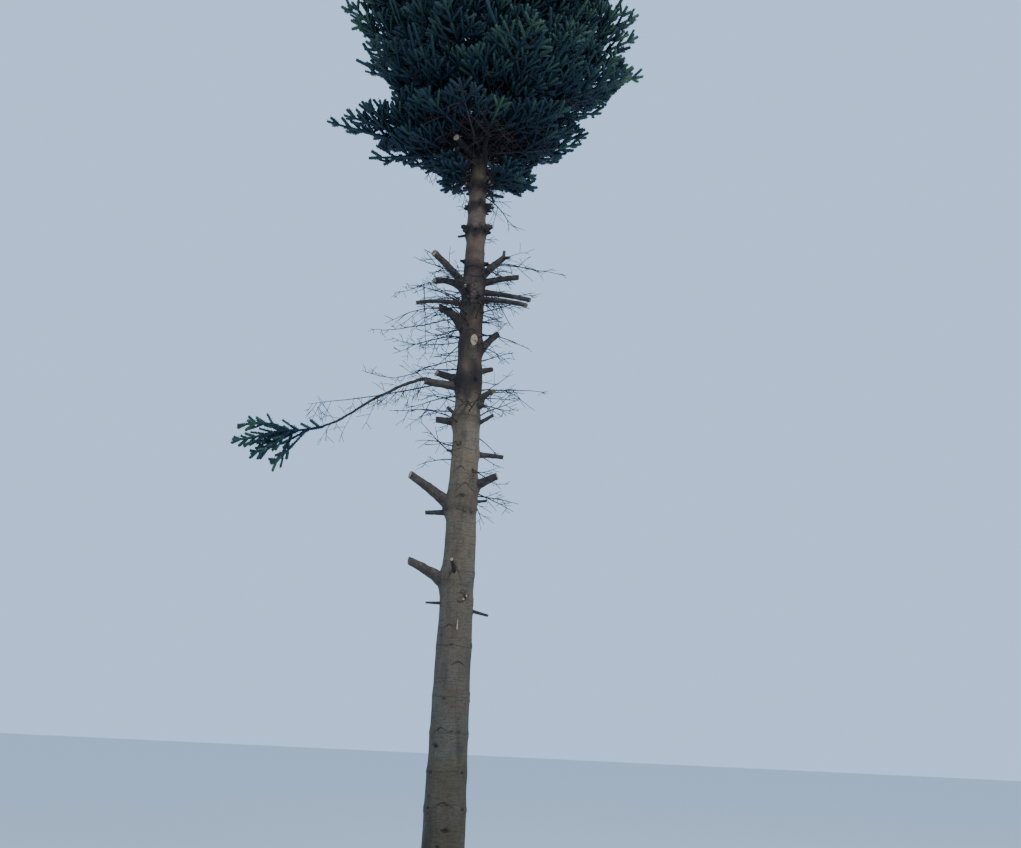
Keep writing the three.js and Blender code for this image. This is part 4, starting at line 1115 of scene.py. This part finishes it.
class TrunkSurface:
    """The trunk's mesh while it gets its bark: how far each vertex moves out, and marks for its colours."""

    def __init__(self, piece):
        self.piece = piece
        count = len(piece.data.vertices)
        places = np.empty(count * 3)
        piece.data.vertices.foreach_get("co", places)
        self.places = places.reshape(-1, 3)
        self.heights = self.places[:, 2]
        centres = np.array([tuple(trunk_axis(height)) for height in self.heights])
        self.spokes = self.places[:, :2] - centres[:, :2]
        self.radii = np.hypot(self.spokes[:, 0], self.spokes[:, 1])
        self.azimuths = np.arctan2(self.spokes[:, 1], self.spokes[:, 0])
        self.draw = seeded(SEEDS["bark"])
        self.out = np.zeros(count)
        self.scar_and_shade = np.zeros(count)
        self.brown = np.zeros(count)
        self.line = np.full(count, FAR_FROM_LINE)
        self.line_mask = np.zeros(count)
        self.knot = np.full(count, FAR_FROM_KNOT)

    def turn_from(self, azimuth):
        """How far round the trunk each vertex is from an azimuth, in radians."""
        return (self.azimuths - math.radians(azimuth) + math.pi) % (2 * math.pi) - math.pi

    def distance_from(self, height, azimuth):
        """How far each vertex is from a place on the bark, across and up."""
        return self.turn_from(azimuth) * self.radii, self.heights - height

    def add_rings(self):
        """Lobes of the root flare, swellings at the whorls, dark rings and brown patches."""
        lobes = BUTTRESS_DEPTH * FLARE * np.cos(BUTTRESSES * self.azimuths)
        self.out += lobes * np.exp(-self.heights / FLARE_FADE)
        for whorl in WHORLS:
            self.out += WHORL_SWELL * self.radii * np.exp(-((self.heights - whorl) / WHORL_WIDTH) ** 2)
        for height, half, darkness, swelling in DARK_RINGS:
            broad = np.sin(RING_EDGE["broad_waves"] * self.azimuths + RING_EDGE["shift"] * height)
            fine = np.sin(RING_EDGE["fine_waves"] * self.azimuths)
            edge = RING_EDGE["broad"] * half * broad + RING_EDGE["fine"] * half * fine
            band = np.exp(-((self.heights - height + edge) / half) ** 4)
            lumps = np.sin(RING_LUMPS["waves"] * self.azimuths + RING_LUMPS["shift"] * height)
            self.out += swelling * self.radii * band * (RING_LUMPS["least"] + RING_LUMPS["more"] * lumps)
            self.scar_and_shade += darkness * band
        for height, azimuth, half, span in BROWN_PATCHES:
            across, rise = self.distance_from(height, azimuth)
            self.brown += np.exp(-(across / span) ** 2 - (rise / half) ** 2)

    def add_collars(self):
        """Bark gathers under the stubs, the pegs and the long bough, and is darkened below each of them as
        painted shade.
        """
        limbs = [(height, azimuth, root) for height, azimuth, _, _, _, root, _ in STUBS.values()]
        limbs += [(height, azimuth, radius) for height, azimuth, _, _, radius in PEGS]
        _, height, radius = BOUGH_COURSE[1]
        limbs.append((height, BOUGH_AZIMUTH, radius))
        for height, azimuth, root in limbs:
            across, rise = self.distance_from(height - COLLAR["below"] * root, azimuth)
            away = np.hypot(across, COLLAR["upright"] * rise)
            self.out += COLLAR["height"] * root * np.exp(-(away / (COLLAR["reach"] * root)) ** 2)
            # Painted shade below the limb
            self.scar_and_shade += COLLAR["darkness"] * np.exp(-(away / (COLLAR["shade"] * root)) ** 2)

    def all_knots(self):
        """The knots that show, and scars by chance round each whorl."""
        knots = list(KNOTS)
        for whorl in WHORLS:
            start = 360 * self.draw()
            for i in range(WHORL_SCARS["count"]):
                azimuth = start + 360 * i / WHORL_SCARS["count"] + WHORL_SCARS["turn"] * self.draw()
                ahead = SEEN_FRONT["from"] < (azimuth + 180) % 360 - 180 < SEEN_FRONT["to"]
                if ahead and whorl > SEEN_FRONT["above"]:
                    continue
                height = whorl + astray(self.draw, WHORL_SCARS["height"])
                knots.append((height, azimuth, chosen(self.draw, *WHORL_SCARS["size"])))
        return knots

    def add_knots(self):
        """Each knot is a raised rim round a sunken middle."""
        for height, azimuth, size in self.all_knots():
            across, rise = self.distance_from(height, azimuth)
            away = np.hypot(across * KNOT["across"], rise)
            mark = np.hypot(across * KNOT["mark_across"], rise * KNOT["mark_up"]) / size
            self.knot = np.minimum(self.knot, mark)
            self.out += KNOT["rim"] * size * np.exp(-((away - size) / (KNOT["rim_width"] * size)) ** 2)
            self.out -= KNOT["hollow"] * size * np.exp(-(away / (KNOT["hollow_width"] * size)) ** 2)
            self.scar_and_shade += KNOT["darkness"] * np.exp(-(away / (KNOT["shade"] * size)) ** 2)

    def draw_line(self, distance, mask):
        """Keeps each vertex's distance from the nearest line, and how strongly that line shows."""
        nearer = np.abs(distance) < np.abs(self.line)
        self.line[nearer] = distance[nearer]
        self.line_mask[nearer] = (mask * np.exp(-(distance / LINE_REACH) ** 4))[nearer]

    def add_lines(self):
        """Chevrons over healed branches, and a line part of the way round each whorl."""
        for height, azimuth, span, steep in CHEVRONS:
            across, rise = self.distance_from(height, azimuth)
            near = np.exp(-(across / span) ** 4) * (np.abs(rise) < CHEVRON["reach"])
            brow = (rise + steep * np.sqrt(across ** 2 + CHEVRON["round"] ** 2)) / math.hypot(1, steep)
            past_ridge = (brow - CHEVRON["ridge_place"]) / CHEVRON["ridge_width"]
            ridge = CHEVRON["ridge"] * np.exp(-past_ridge ** 2)
            groove = CHEVRON["groove"] * np.exp(-(brow / CHEVRON["groove_width"]) ** 2)
            self.out += near * (ridge - groove)
            self.draw_line(brow, near)
        for whorl in WHORLS:
            turn = self.turn_from(360 * self.draw())
            half = math.radians(chosen(self.draw, *WHORL_LINE["half"]))
            slant = astray(self.draw, WHORL_LINE["slant"])
            rise = self.heights - whorl - astray(self.draw, WHORL_LINE["height"])
            wave = WHORL_LINE["wave"] * np.sin(WHORL_LINE["waves"] * self.azimuths + whorl)
            shown = WHORL_LINE["strength"] * np.exp(-(turn / half) ** 6)
            self.draw_line(rise - slant * turn - wave, shown)

    def add_unevenness(self):
        """Broad swells, fine ripples up the trunk and creases round it, and ragged knots."""
        for i, (x, y, z) in enumerate(self.places):
            place = Vector((x, y, z))
            swell = noise.noise(place * SWELLS["scale"])
            across, up = RIPPLES["across"], RIPPLES["up"]
            ripple = noise.noise(Vector((x * across, y * across, z * up)))
            across, up = CREASES["across"], CREASES["up"]
            crease = noise.noise(Vector((x * across, y * across, z * up)))
            self.out[i] += (
                SWELLS["height"] * swell + RIPPLES["height"] * ripple
                + CREASES["depth"] * min(0, crease + CREASES["from"])
            )
            self.knot[i] += KNOT["ragged"] * noise.noise(place * KNOT["ragged_scale"])

    def finish(self):
        """Moves the vertices out and writes the marks as attributes."""
        spokes = self.spokes / np.maximum(self.radii, 1e-6)[:, None]
        self.places[:, :2] += spokes * (self.out * (self.radii > THINNEST_RELIEF))[:, None]
        mesh = self.piece.data
        mesh.vertices.foreach_set("co", self.places.ravel())
        marks = {
            "scar_and_shade": np.clip(self.scar_and_shade, 0, 1),
            "brown": np.clip(self.brown, 0, 1),
            "line": np.clip(self.line, -LINE_LIMIT, LINE_LIMIT),
            "line_mask": self.line_mask,
            "knot": self.knot,
        }
        for name, values in marks.items():
            mesh.attributes.new(name, "FLOAT", "POINT").data.foreach_set("value", values)
        mesh.update()


def trunk_piece(materials):
    piece = start_limb(TRUNK_SIDES, trunk_radius(0), trunk_axis(0), 0)
    below = trunk_axis(0)
    bpy.ops.transform.edge_crease(value=1)
    for height in trunk_heights():
        here = trunk_axis(height)
        extrude_ring(here - below, here, trunk_radius(height) / trunk_radius(below.z))
        below = here
    bpy.ops.transform.edge_crease(value=1)
    finish_limb(piece, "trunk_bark", 0, TRUNK_LEVELS)
    surface = TrunkSurface(piece)
    surface.add_rings()
    surface.add_collars()
    surface.add_knots()
    surface.add_lines()
    surface.add_unevenness()
    surface.finish()
    piece.data.materials.clear()
    piece.data.materials.append(materials["bark"])
    return piece


# Long live bough

def bough_point(out, height):
    """The bough's middle at a distance from the trunk's axis; it swings evenly on its way out."""
    azimuth = BOUGH_AZIMUTH + BOUGH_SWING * out / BOUGH_COURSE[-1][0]
    centre = trunk_axis(BOUGH_COURSE[0][1])
    return Vector((centre.x, centre.y, height)) + heading(azimuth, 0) * out


def bough_knob(materials):
    """The thick sawn foot of the long bough."""
    first = bough_point(*BOUGH_COURSE[0][:2])
    end = bough_point(*BOUGH_COURSE[KNOB_END][:2])
    azimuth = math.degrees(math.atan2(end.y - first.y, end.x - first.x))

    def radius_at(t):
        return KNOB["radius"] - KNOB["taper"] * t - KNOB["rounding"] * max(0, t - KNOB["round_from"])

    return cut_limb(
        "bough_knob", first, (azimuth, KNOB["rise"], KNOB["bend"]), (end - first).length, radius_at,
        (materials["red_bark"], materials["old_sawn"]), KNOB["rough"], KNOB["sides"], KNOB["rings"],
    )


def bough_stem(draw):
    """The thin bough that leaves the knob's end, wavering a little: its points and radii."""
    beyond = BOUGH_COURSE[BOUGH_STEM["first"]:]
    corners = [bough_point(out, height) for out, height, _ in beyond]
    for corner, lift in zip(corners, BOUGH_STEM["lifts"]):
        corner.z += lift
    joints = BOUGH_STEM["joints"]
    points = [along(corners, i / joints) for i in range(joints + 1)]
    for point in points[BOUGH_STEM["straight"]:]:
        point.z += astray(draw, BOUGH_STEM["up"])
        point.y += astray(draw, BOUGH_STEM["across"])
    known = BOUGH_STEM["radii"] + [radius for _, _, radius in beyond[len(BOUGH_STEM["radii"]):]]
    radii = np.interp(np.linspace(0, 1, joints + 1), np.linspace(0, 1, len(known)), known)
    return points, radii * [chosen(draw, *BOUGH_STEM["girth"]) for _ in range(joints + 1)]


def long_bough(materials):
    """The knob, the thin bough beyond it, and its bare side twig with all the dead twigs that hang."""
    draw = seeded(SEEDS["bough_twigs"])
    points, radii = bough_stem(draw)
    stem = Gathered()
    stem.add(*tube(points, radii, BOUGH_STEM["sides"]))
    twigs = Gathered()
    joints = BOUGH_TWIG_MESH["joints"]
    side = [along([Vector(point) for point in BOUGH_TWIG], i / joints) for i in range(joints + 1)]
    side_radii = np.linspace(BOUGH_TWIG_MESH["root"], BOUGH_TWIG_MESH["tip"], joints + 1)
    twigs.add(*tube(side, side_radii, BOUGH_TWIG_MESH["sides"]))
    for path, (first_joint, reach) in ((points, HANGING_TWIGS["bough"]), (side, HANGING_TWIGS["side"])):
        for i in range(first_joint, len(path) - 1):
            if draw() < HANGING_TWIGS["missing"]:
                continue
            tangent = (path[i + 1] - path[i - 1]).normalized()
            hangs = draw() < HANGING_TWIGS["hanging"]
            fall = HANGING_TWIGS["fall"] * (1 + draw()) if hangs else HANGING_TWIGS["lift"]
            way = tangent * (HANGING_TWIGS["forward"] * draw()) + UP * fall + Vector((0, astray(draw), 0))
            length = reach * (HANGING_TWIGS["reach"] + draw())
            dead_twigs(twigs, path[i], way.normalized(), length, HANGING_TWIGS["radius"], draw, order=1)
    return (bough_knob(materials), stem.make("bough_stem", [materials["bough_bark"]]),
            twigs.make("bough_dead_twigs", [materials["dead"]]))


def bough_foliage():
    """The bough's green end: its stem, the branches that fan out down and outwards, and small tufts."""
    growth = Growth(SEEDS["bough"], bare=0.0, **BOUGH_SPRAY)
    for line, order in BOUGH_BRANCHES:
        points = [Vector(point) for point in line]
        length = sum((points[i + 1] - points[i]).length for i in range(len(points) - 1))
        growth.branch(points, length, BOUGH_ROOT, order)
    return growth


# Materials

# Colours are 0 to 255 display values. Those of the trunk's bark go by height, as a share of RAMP_HEIGHT.
RAMP_HEIGHT = 8
TRUNK_COLOURS = [
    (0.0, (70, 64, 47)), (0.12, (84, 73, 55)), (0.3, (105, 91, 73)), (0.44, (125, 106, 84)),
    (0.5, (134, 112, 88)), (0.53, (76, 60, 51)), (0.6, (76, 59, 50)), (0.655, (80, 63, 52)),
    (0.68, (111, 87, 71)), (0.75, (105, 84, 68)), (0.765, (100, 88, 60)), (0.78, (46, 38, 37)),
    (1.0, (40, 33, 32)),
]

# Patterns of the grain group: how fine across and up, noise at which the mask begins and is full, and place
BARK_PATTERNS = {
    "pale": (5, 3.2, 0.5, 0.68), "mottled": (6, 2.2, 0.52, 0.74, 11), "green": (4, 2.6, 0.55, 0.8, 23),
    "rusty": (9, 5, 0.5, 0.7, 31), "streak": (38, 3.5, 0.54, 0.8, 5), "speck": (105, 90, 0.56, 0.72, 3),
    "dash": (20, 190, 0.52, 0.7, 17), "crease": (6, 105, 0.6, 0.72, 7), "broken": (16, 20, 0.22, 0.52, 13),
}
LIMB_PATTERNS = {"blotch": (17, 17, 0.45, 0.68, 2), "shade": (30, 30, 0.5, 0.72, 9),
                 "speck": (90, 90, 0.55, 0.7, 4)}
WEATHER_PATTERN = (60, 60, 0.42, 0.66, 6)

# Where the mesh's marks show on the trunk, from full to gone: half width of a line, and places in a knot for
# its radius
LINE_WIDTH = (0.0006, 0.0066)
KNOT_RIM = (0.95, 1.5)
KNOT_HOLLOW = (0.3, 0.9)

# What is painted over the trunk's colours, in order, with its strength and colour, and what sinks its surface
BARK_LAYERS = [
    ("pale", 0.45, (112, 106, 97)), ("mottled", 0.8, (50, 45, 42)), ("green", 0.4, (76, 80, 56)),
    ("rusty", 0.4, (98, 78, 62)), ("streak", 0.42, (46, 43, 41)), ("speck", 0.36, (122, 116, 106)),
    ("dash", 0.28, (48, 42, 38)), ("crease", 0.3, (40, 35, 32)), ("brown", 0.7, (122, 95, 78)),
    # The scar layer holds the knots' dark wood and the dark rings, and painted shade under the limbs
    ("scar_and_shade", 0.86, (31, 26, 25)), ("line", 0.85, (38, 32, 29)), ("rim", 0.22, (120, 104, 86)),
    ("hollow", 0.8, (40, 32, 28)),
]
BARK_RELIEF = [("dash", -0.5), ("streak", -0.35), ("crease", -0.6), ("hollow", -1.0), ("line", -1.2)]

# Marks on a limb's bark, in order, with their strength, and how much its specks sink
LIMB_LAYERS = {"blotch": 0.6, "shade": 0.75, "speck": 0.35}
SUNK_SPECKS = -0.7

# Growth rings on a sawn face: spacing in metres, strength, and where on their wave they begin. Then the
# colour that old wood weathers to.
GROWTH_RINGS = {"spacing": 0.0032, "strength": 0.5, "from": -0.2}
WEATHERED = (70, 62, 54)

# Roughness of each finish, depth of its fine relief in metres, the highlight of all, and the grain's noise
ROUGHNESS = {"trunk": 0.86, "limb": 0.85, "sawn": 0.8}
RELIEF_DEPTH = {"trunk": 0.004, "limb": 0.002, "sawn": 0.0006}
HIGHLIGHT = 0.3
GRAIN = {"Scale": 1, "Detail": 4, "Roughness": 0.6}


def paint(red, green, blue):
    """A linear colour from its 0 to 255 display values."""
    def linear(value):
        share = value / 255
        return share / 12.92 if share <= 0.04045 else ((share + 0.055) / 1.055) ** 2.4

    return linear(red), linear(green), linear(blue), 1


class Nodes:
    """A material's or group's node tree while it is put together."""

    def __init__(self, tree):
        self.tree = tree

    def add(self, kind, **settings):
        node = self.tree.nodes.new("ShaderNode" + kind)
        for name, value in settings.items():
            setattr(node, name, value)
        return node

    def link(self, output, socket):
        self.tree.links.new(output, socket)

    def feed(self, value, socket):
        """Links an output to a socket, or sets a plain number or colour on it."""
        if isinstance(value, bpy.types.NodeSocket):
            self.link(value, socket)
        else:
            socket.default_value = value

    def fill(self, node, values):
        """Feeds a node's sockets, by name or place."""
        for socket, value in values.items():
            self.feed(value, node.inputs[socket])
        return node

    def maths(self, operation, *values):
        return self.fill(self.add("Math", operation=operation), dict(enumerate(values))).outputs[0]

    def scaled(self, output, factor, plus=None):
        """output times factor, plus another output where one is given."""
        if plus:
            return self.maths("MULTIPLY_ADD", output, factor, plus)
        return self.maths("MULTIPLY", output, factor)

    def mix(self, mask, below, above):
        """above painted over below where the mask is."""
        return self.fill(self.add("Mix", data_type="RGBA"), {0: mask, 6: below, 7: above}).outputs[2]

    def mark(self, name):
        """The value of one of the mesh's attributes."""
        return self.add("Attribute", attribute_name=name).outputs["Fac"]

    def faded(self, value, full, gone):
        """1 where the value is at full, nothing where it is at gone, and even between them."""
        limits = self.fill(self.add("MapRange"), {"Value": value, "From Min": gone, "From Max": full})
        return limits.outputs["Result"]

    def pattern(self, group, across, up, low, high, place=0.0):
        node = self.add("Group", node_tree=group)
        values = {"Across": across, "Up": up, "Low": low, "High": high, "Place": place}
        return self.fill(node, values).outputs["Mask"]

    def coloured(self, position, stops):
        """A colour ramp through the stops."""
        node = self.add("ValToRGB")
        self.link(position, node.inputs[0])
        elements = node.color_ramp.elements
        while len(elements) < len(stops):
            elements.new(0.5)
        for element, (place, colour) in zip(elements, stops):
            element.position = place
            element.color = paint(*colour)
        return node.outputs[0]

    def raised(self, shader, height, depth):
        bump = self.fill(self.add("Bump"), {"Height": height, "Distance": depth, "Strength": 1.0})
        self.link(bump.outputs[0], shader.inputs["Normal"])


def grain_group():
    """Noise in object space, stretched across or up the trunk, between two limits."""
    group = bpy.data.node_groups.new("bark_grain", "ShaderNodeTree")
    for name in ("Across", "Up", "Low", "High", "Place"):
        group.interface.new_socket(name, in_out="INPUT", socket_type="NodeSocketFloat")
    group.interface.new_socket("Mask", in_out="OUTPUT", socket_type="NodeSocketFloat")
    nodes = Nodes(group)
    given = group.nodes.new("NodeGroupInput").outputs
    result = group.nodes.new("NodeGroupOutput")
    stretch = nodes.fill(nodes.add("CombineXYZ"), {0: given["Across"], 1: given["Across"], 2: given["Up"]})
    shift = nodes.fill(nodes.add("CombineXYZ"), {axis: given["Place"] for axis in range(3)})
    stretched = nodes.add("VectorMath", operation="MULTIPLY_ADD")
    place = nodes.add("TexCoord").outputs["Object"]
    nodes.fill(stretched, {0: place, 1: stretch.outputs[0], 2: shift.outputs[0]})
    noisy = nodes.add("TexNoise")
    nodes.fill(noisy, {"Vector": stretched.outputs[0], **GRAIN})
    limits = nodes.add("MapRange")
    nodes.fill(limits, {"Value": noisy.outputs["Fac"], "From Min": given["Low"], "From Max": given["High"]})
    nodes.link(limits.outputs["Result"], result.inputs["Mask"])
    return group


def new_material(name, roughness):
    material = bpy.data.materials.new(name)
    material.use_nodes = True
    shader = material.node_tree.nodes["Principled BSDF"]
    shader.inputs["Roughness"].default_value = roughness
    shader.inputs["Specular IOR Level"].default_value = HIGHLIGHT
    return material, shader, Nodes(material.node_tree)


def trunk_bark(grain):
    """Smooth grey bark, darker and brown higher up, creased, streaked and scarred, with painted shade under
    its limbs and in the chevrons' grooves.
    """
    material, shader, nodes = new_material("trunk_bark", ROUGHNESS["trunk"])
    split = nodes.fill(nodes.add("SeparateXYZ"), {0: nodes.add("TexCoord").outputs["Object"]})
    colour = nodes.coloured(nodes.scaled(split.outputs[2], 1 / RAMP_HEIGHT), TRUNK_COLOURS)
    masks = {name: nodes.pattern(grain, *pattern) for name, pattern in BARK_PATTERNS.items()}
    masks["brown"] = nodes.mark("brown")
    masks["scar_and_shade"] = nodes.mark("scar_and_shade")
    masks["rim"] = nodes.faded(nodes.mark("knot"), *KNOT_RIM)
    masks["hollow"] = nodes.faded(nodes.mark("knot"), *KNOT_HOLLOW)
    # The dark colour along the lines is partly the bark's own and partly painted shade in the chevrons'
    # grooves and under branch collars
    near_line = nodes.faded(nodes.maths("ABSOLUTE", nodes.mark("line")), *LINE_WIDTH)
    shown = nodes.maths("MULTIPLY", near_line, nodes.mark("line_mask"))
    masks["line"] = nodes.maths("MULTIPLY", shown, masks["broken"])
    for name, strength, tint in BARK_LAYERS:
        colour = nodes.mix(nodes.scaled(masks[name], strength), colour, paint(*tint))
    nodes.link(colour, shader.inputs["Base Color"])
    relief = masks["speck"]
    for name, factor in BARK_RELIEF:
        relief = nodes.scaled(masks[name], factor, relief)
    nodes.raised(shader, relief, RELIEF_DEPTH["trunk"])
    return material


def limb_bark(name, grain, ground, light, dark):
    """Bark of a stub, bough or twig: light blotches on its ground, dark shades and specks."""
    material, shader, nodes = new_material(name, ROUGHNESS["limb"])
    masks = {mark: nodes.pattern(grain, *pattern) for mark, pattern in LIMB_PATTERNS.items()}
    colour = paint(*ground)
    tints = {"blotch": light, "shade": dark, "speck": dark}
    for mark, strength in LIMB_LAYERS.items():
        colour = nodes.mix(nodes.scaled(masks[mark], strength), colour, paint(*tints[mark]))
    nodes.link(colour, shader.inputs["Base Color"])
    relief = nodes.scaled(masks["speck"], SUNK_SPECKS, masks["blotch"])
    nodes.raised(shader, relief, RELIEF_DEPTH["limb"])
    return material


def sawn_wood(name, grain, pale, ring_colour, age):
    """A sawn end: growth rings round its middle, and weathering that grows with its age."""
    material, shader, nodes = new_material(name, ROUGHNESS["sawn"])
    wave = nodes.maths("SINE", nodes.scaled(nodes.mark("ring"), 2 * math.pi / GROWTH_RINGS["spacing"]))
    bands = nodes.faded(wave, full=1, gone=GROWTH_RINGS["from"])
    weather = nodes.pattern(grain, *WEATHER_PATTERN)
    colour = nodes.mix(nodes.scaled(bands, GROWTH_RINGS["strength"]), paint(*pale), paint(*ring_colour))
    colour = nodes.mix(nodes.scaled(weather, age), colour, paint(*WEATHERED))
    nodes.link(colour, shader.inputs["Base Color"])
    nodes.raised(shader, bands, RELIEF_DEPTH["sawn"])
    return material


def plain(name, colour, roughness):
    material, shader, _ = new_material(name, roughness)
    shader.inputs["Base Color"].default_value = paint(*colour)
    return material


def make_materials():
    """All finishes: bark by ground, light and dark colour, sawn wood by its own, its rings' and its age."""
    grain = grain_group()
    return {
        "bark": trunk_bark(grain),
        "stub_bark": limb_bark("stub_bark", grain, (68, 59, 53), (100, 90, 80), (36, 30, 28)),
        # Darker bark, which on the stub at the crown's foot is painted shade
        "dark_and_shaded_bark": limb_bark("dark_and_shaded_bark", grain, (48, 39, 37), (76, 64, 58), (28, 23, 23)),
        "red_bark": limb_bark("reddish_bark", grain, (76, 64, 56), (108, 95, 83), (42, 34, 30)),
        "callus": limb_bark("callus", grain, (92, 78, 64), (124, 106, 86), (46, 36, 30)),
        "bough_bark": limb_bark("bough_bark", grain, (62, 55, 50), (92, 84, 74), (38, 32, 30)),
        "sawn": sawn_wood("fresh_sawn_wood", grain, (192, 163, 130), (158, 127, 96), 0.3),
        "old_sawn": sawn_wood("weathered_sawn_wood", grain, (122, 103, 82), (92, 76, 60), 0.8),
        "dead": limb_bark("dead_twig_bark", grain, (60, 52, 48), (94, 84, 76), (34, 27, 25)),
        "twig": limb_bark("live_twig_bark", grain, (70, 57, 58), (94, 80, 78), (40, 33, 35)),
        # Needle tones: the lighter ones are partly painted light on the crown's top and outside, the deeper
        # ones partly painted shade inside and under it
        "deep": plain("needles_deep", (24, 42, 54), 0.65),
        "dark": plain("needles_dark", (32, 54, 59), 0.6),
        "mid": plain("needles_mid", (48, 72, 63), 0.55),
        "fresh_and_lit": plain("needles_fresh_and_lit", (66, 90, 68), 0.5),
    }


# Assembly

def carried(piece, slot, *nodes):
    """A finished piece rides on the tree and stands for its nodes, which are hidden; slot is not used."""
    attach(piece, "root")
    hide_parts(*nodes)


def build():
    materials = make_materials()
    carried(trunk_piece(materials), "bark", "trunk")
    for node in STUBS:
        carried(stub_piece(node, materials), "bark", node)
    for prong in fork_prongs(materials):
        carried(prong, "bark", FORKED_STUB)
    carried(peg_piece(materials), "bark", "trunk")
    carried(splinter_piece(materials), "bark", "trunk")
    knob, stem, twigs = long_bough(materials)
    carried(knob, "bark", "long_bough")
    carried(stem, "bark", "long_bough")
    carried(twigs, "dead_twig", "long_bough")
    make_foliage("long_bough_foliage", [bough_foliage()], ["long_bough_foliage"], materials)
    for index, node in enumerate(DEAD_SPRAYS):
        carried(dead_spray(node, index, materials["dead"]), "dead_twig", node)
    for ring, growths in enumerate(grow_crown()):
        nodes = [f"crown_ring_{ring + 1}_bough_{i + 1}" for i in range(len(CROWN[ring][3]))]
        make_foliage(f"crown_ring_{ring + 1}", growths, nodes, materials)
    make_foliage("crown_leader", [leader_growth()], ["crown_leader"], materials)


def place_camera():
    camera = bpy.data.objects.new("camera", bpy.data.cameras.new("camera"))
    camera.data.lens = FOCAL_PIXELS / PHOTO_WIDTH * SENSOR_WIDTH
    camera.data.sensor_width = SENSOR_WIDTH
    camera.data.clip_end = CLIP_END
    camera.matrix_world = (
        Matrix.Translation(CAMERA_PLACE)
        @ Matrix.Rotation(math.radians(90 + CAMERA_TILT), 4, "X")
        @ Matrix.Rotation(math.radians(CAMERA_ROLL), 4, "Z")
    )
    bpy.context.scene.collection.objects.link(camera)
    bpy.context.scene.camera = camera


def light_stage():
    """A wide pale floor, an even pale sky and one large soft light."""
    bpy.ops.object.select_all(action="DESELECT")
    bpy.ops.mesh.primitive_plane_add(size=FLOOR["size"], location=(0, 0, -FLOOR["below"]))
    floor = bpy.context.object
    floor.name = "floor"
    floor.data.materials.append(plain("floor_pale", FLOOR["colour"], FLOOR["roughness"]))
    world = bpy.data.worlds.new("pale_sky")
    bpy.context.scene.world = world
    world.use_nodes = True
    sky = world.node_tree.nodes["Background"]
    sky.inputs["Color"].default_value = paint(*SKY["colour"])
    sky.inputs["Strength"].default_value = SKY["strength"]
    soft = bpy.data.lights.new("soft_light", "AREA")
    soft.shape = "DISK"
    soft.size = SOFT_LIGHT["size"]
    soft.energy = SOFT_LIGHT["energy"]
    lamp = bpy.data.objects.new("soft_light", soft)
    turned = Vector(SOFT_LIGHT["from"]).to_track_quat("Z", "Y").to_matrix().to_4x4()
    lamp.matrix_world = Matrix.Translation(SOFT_LIGHT["place"]) @ turned
    bpy.context.scene.collection.objects.link(lamp)


build()
place_camera()
light_stage()
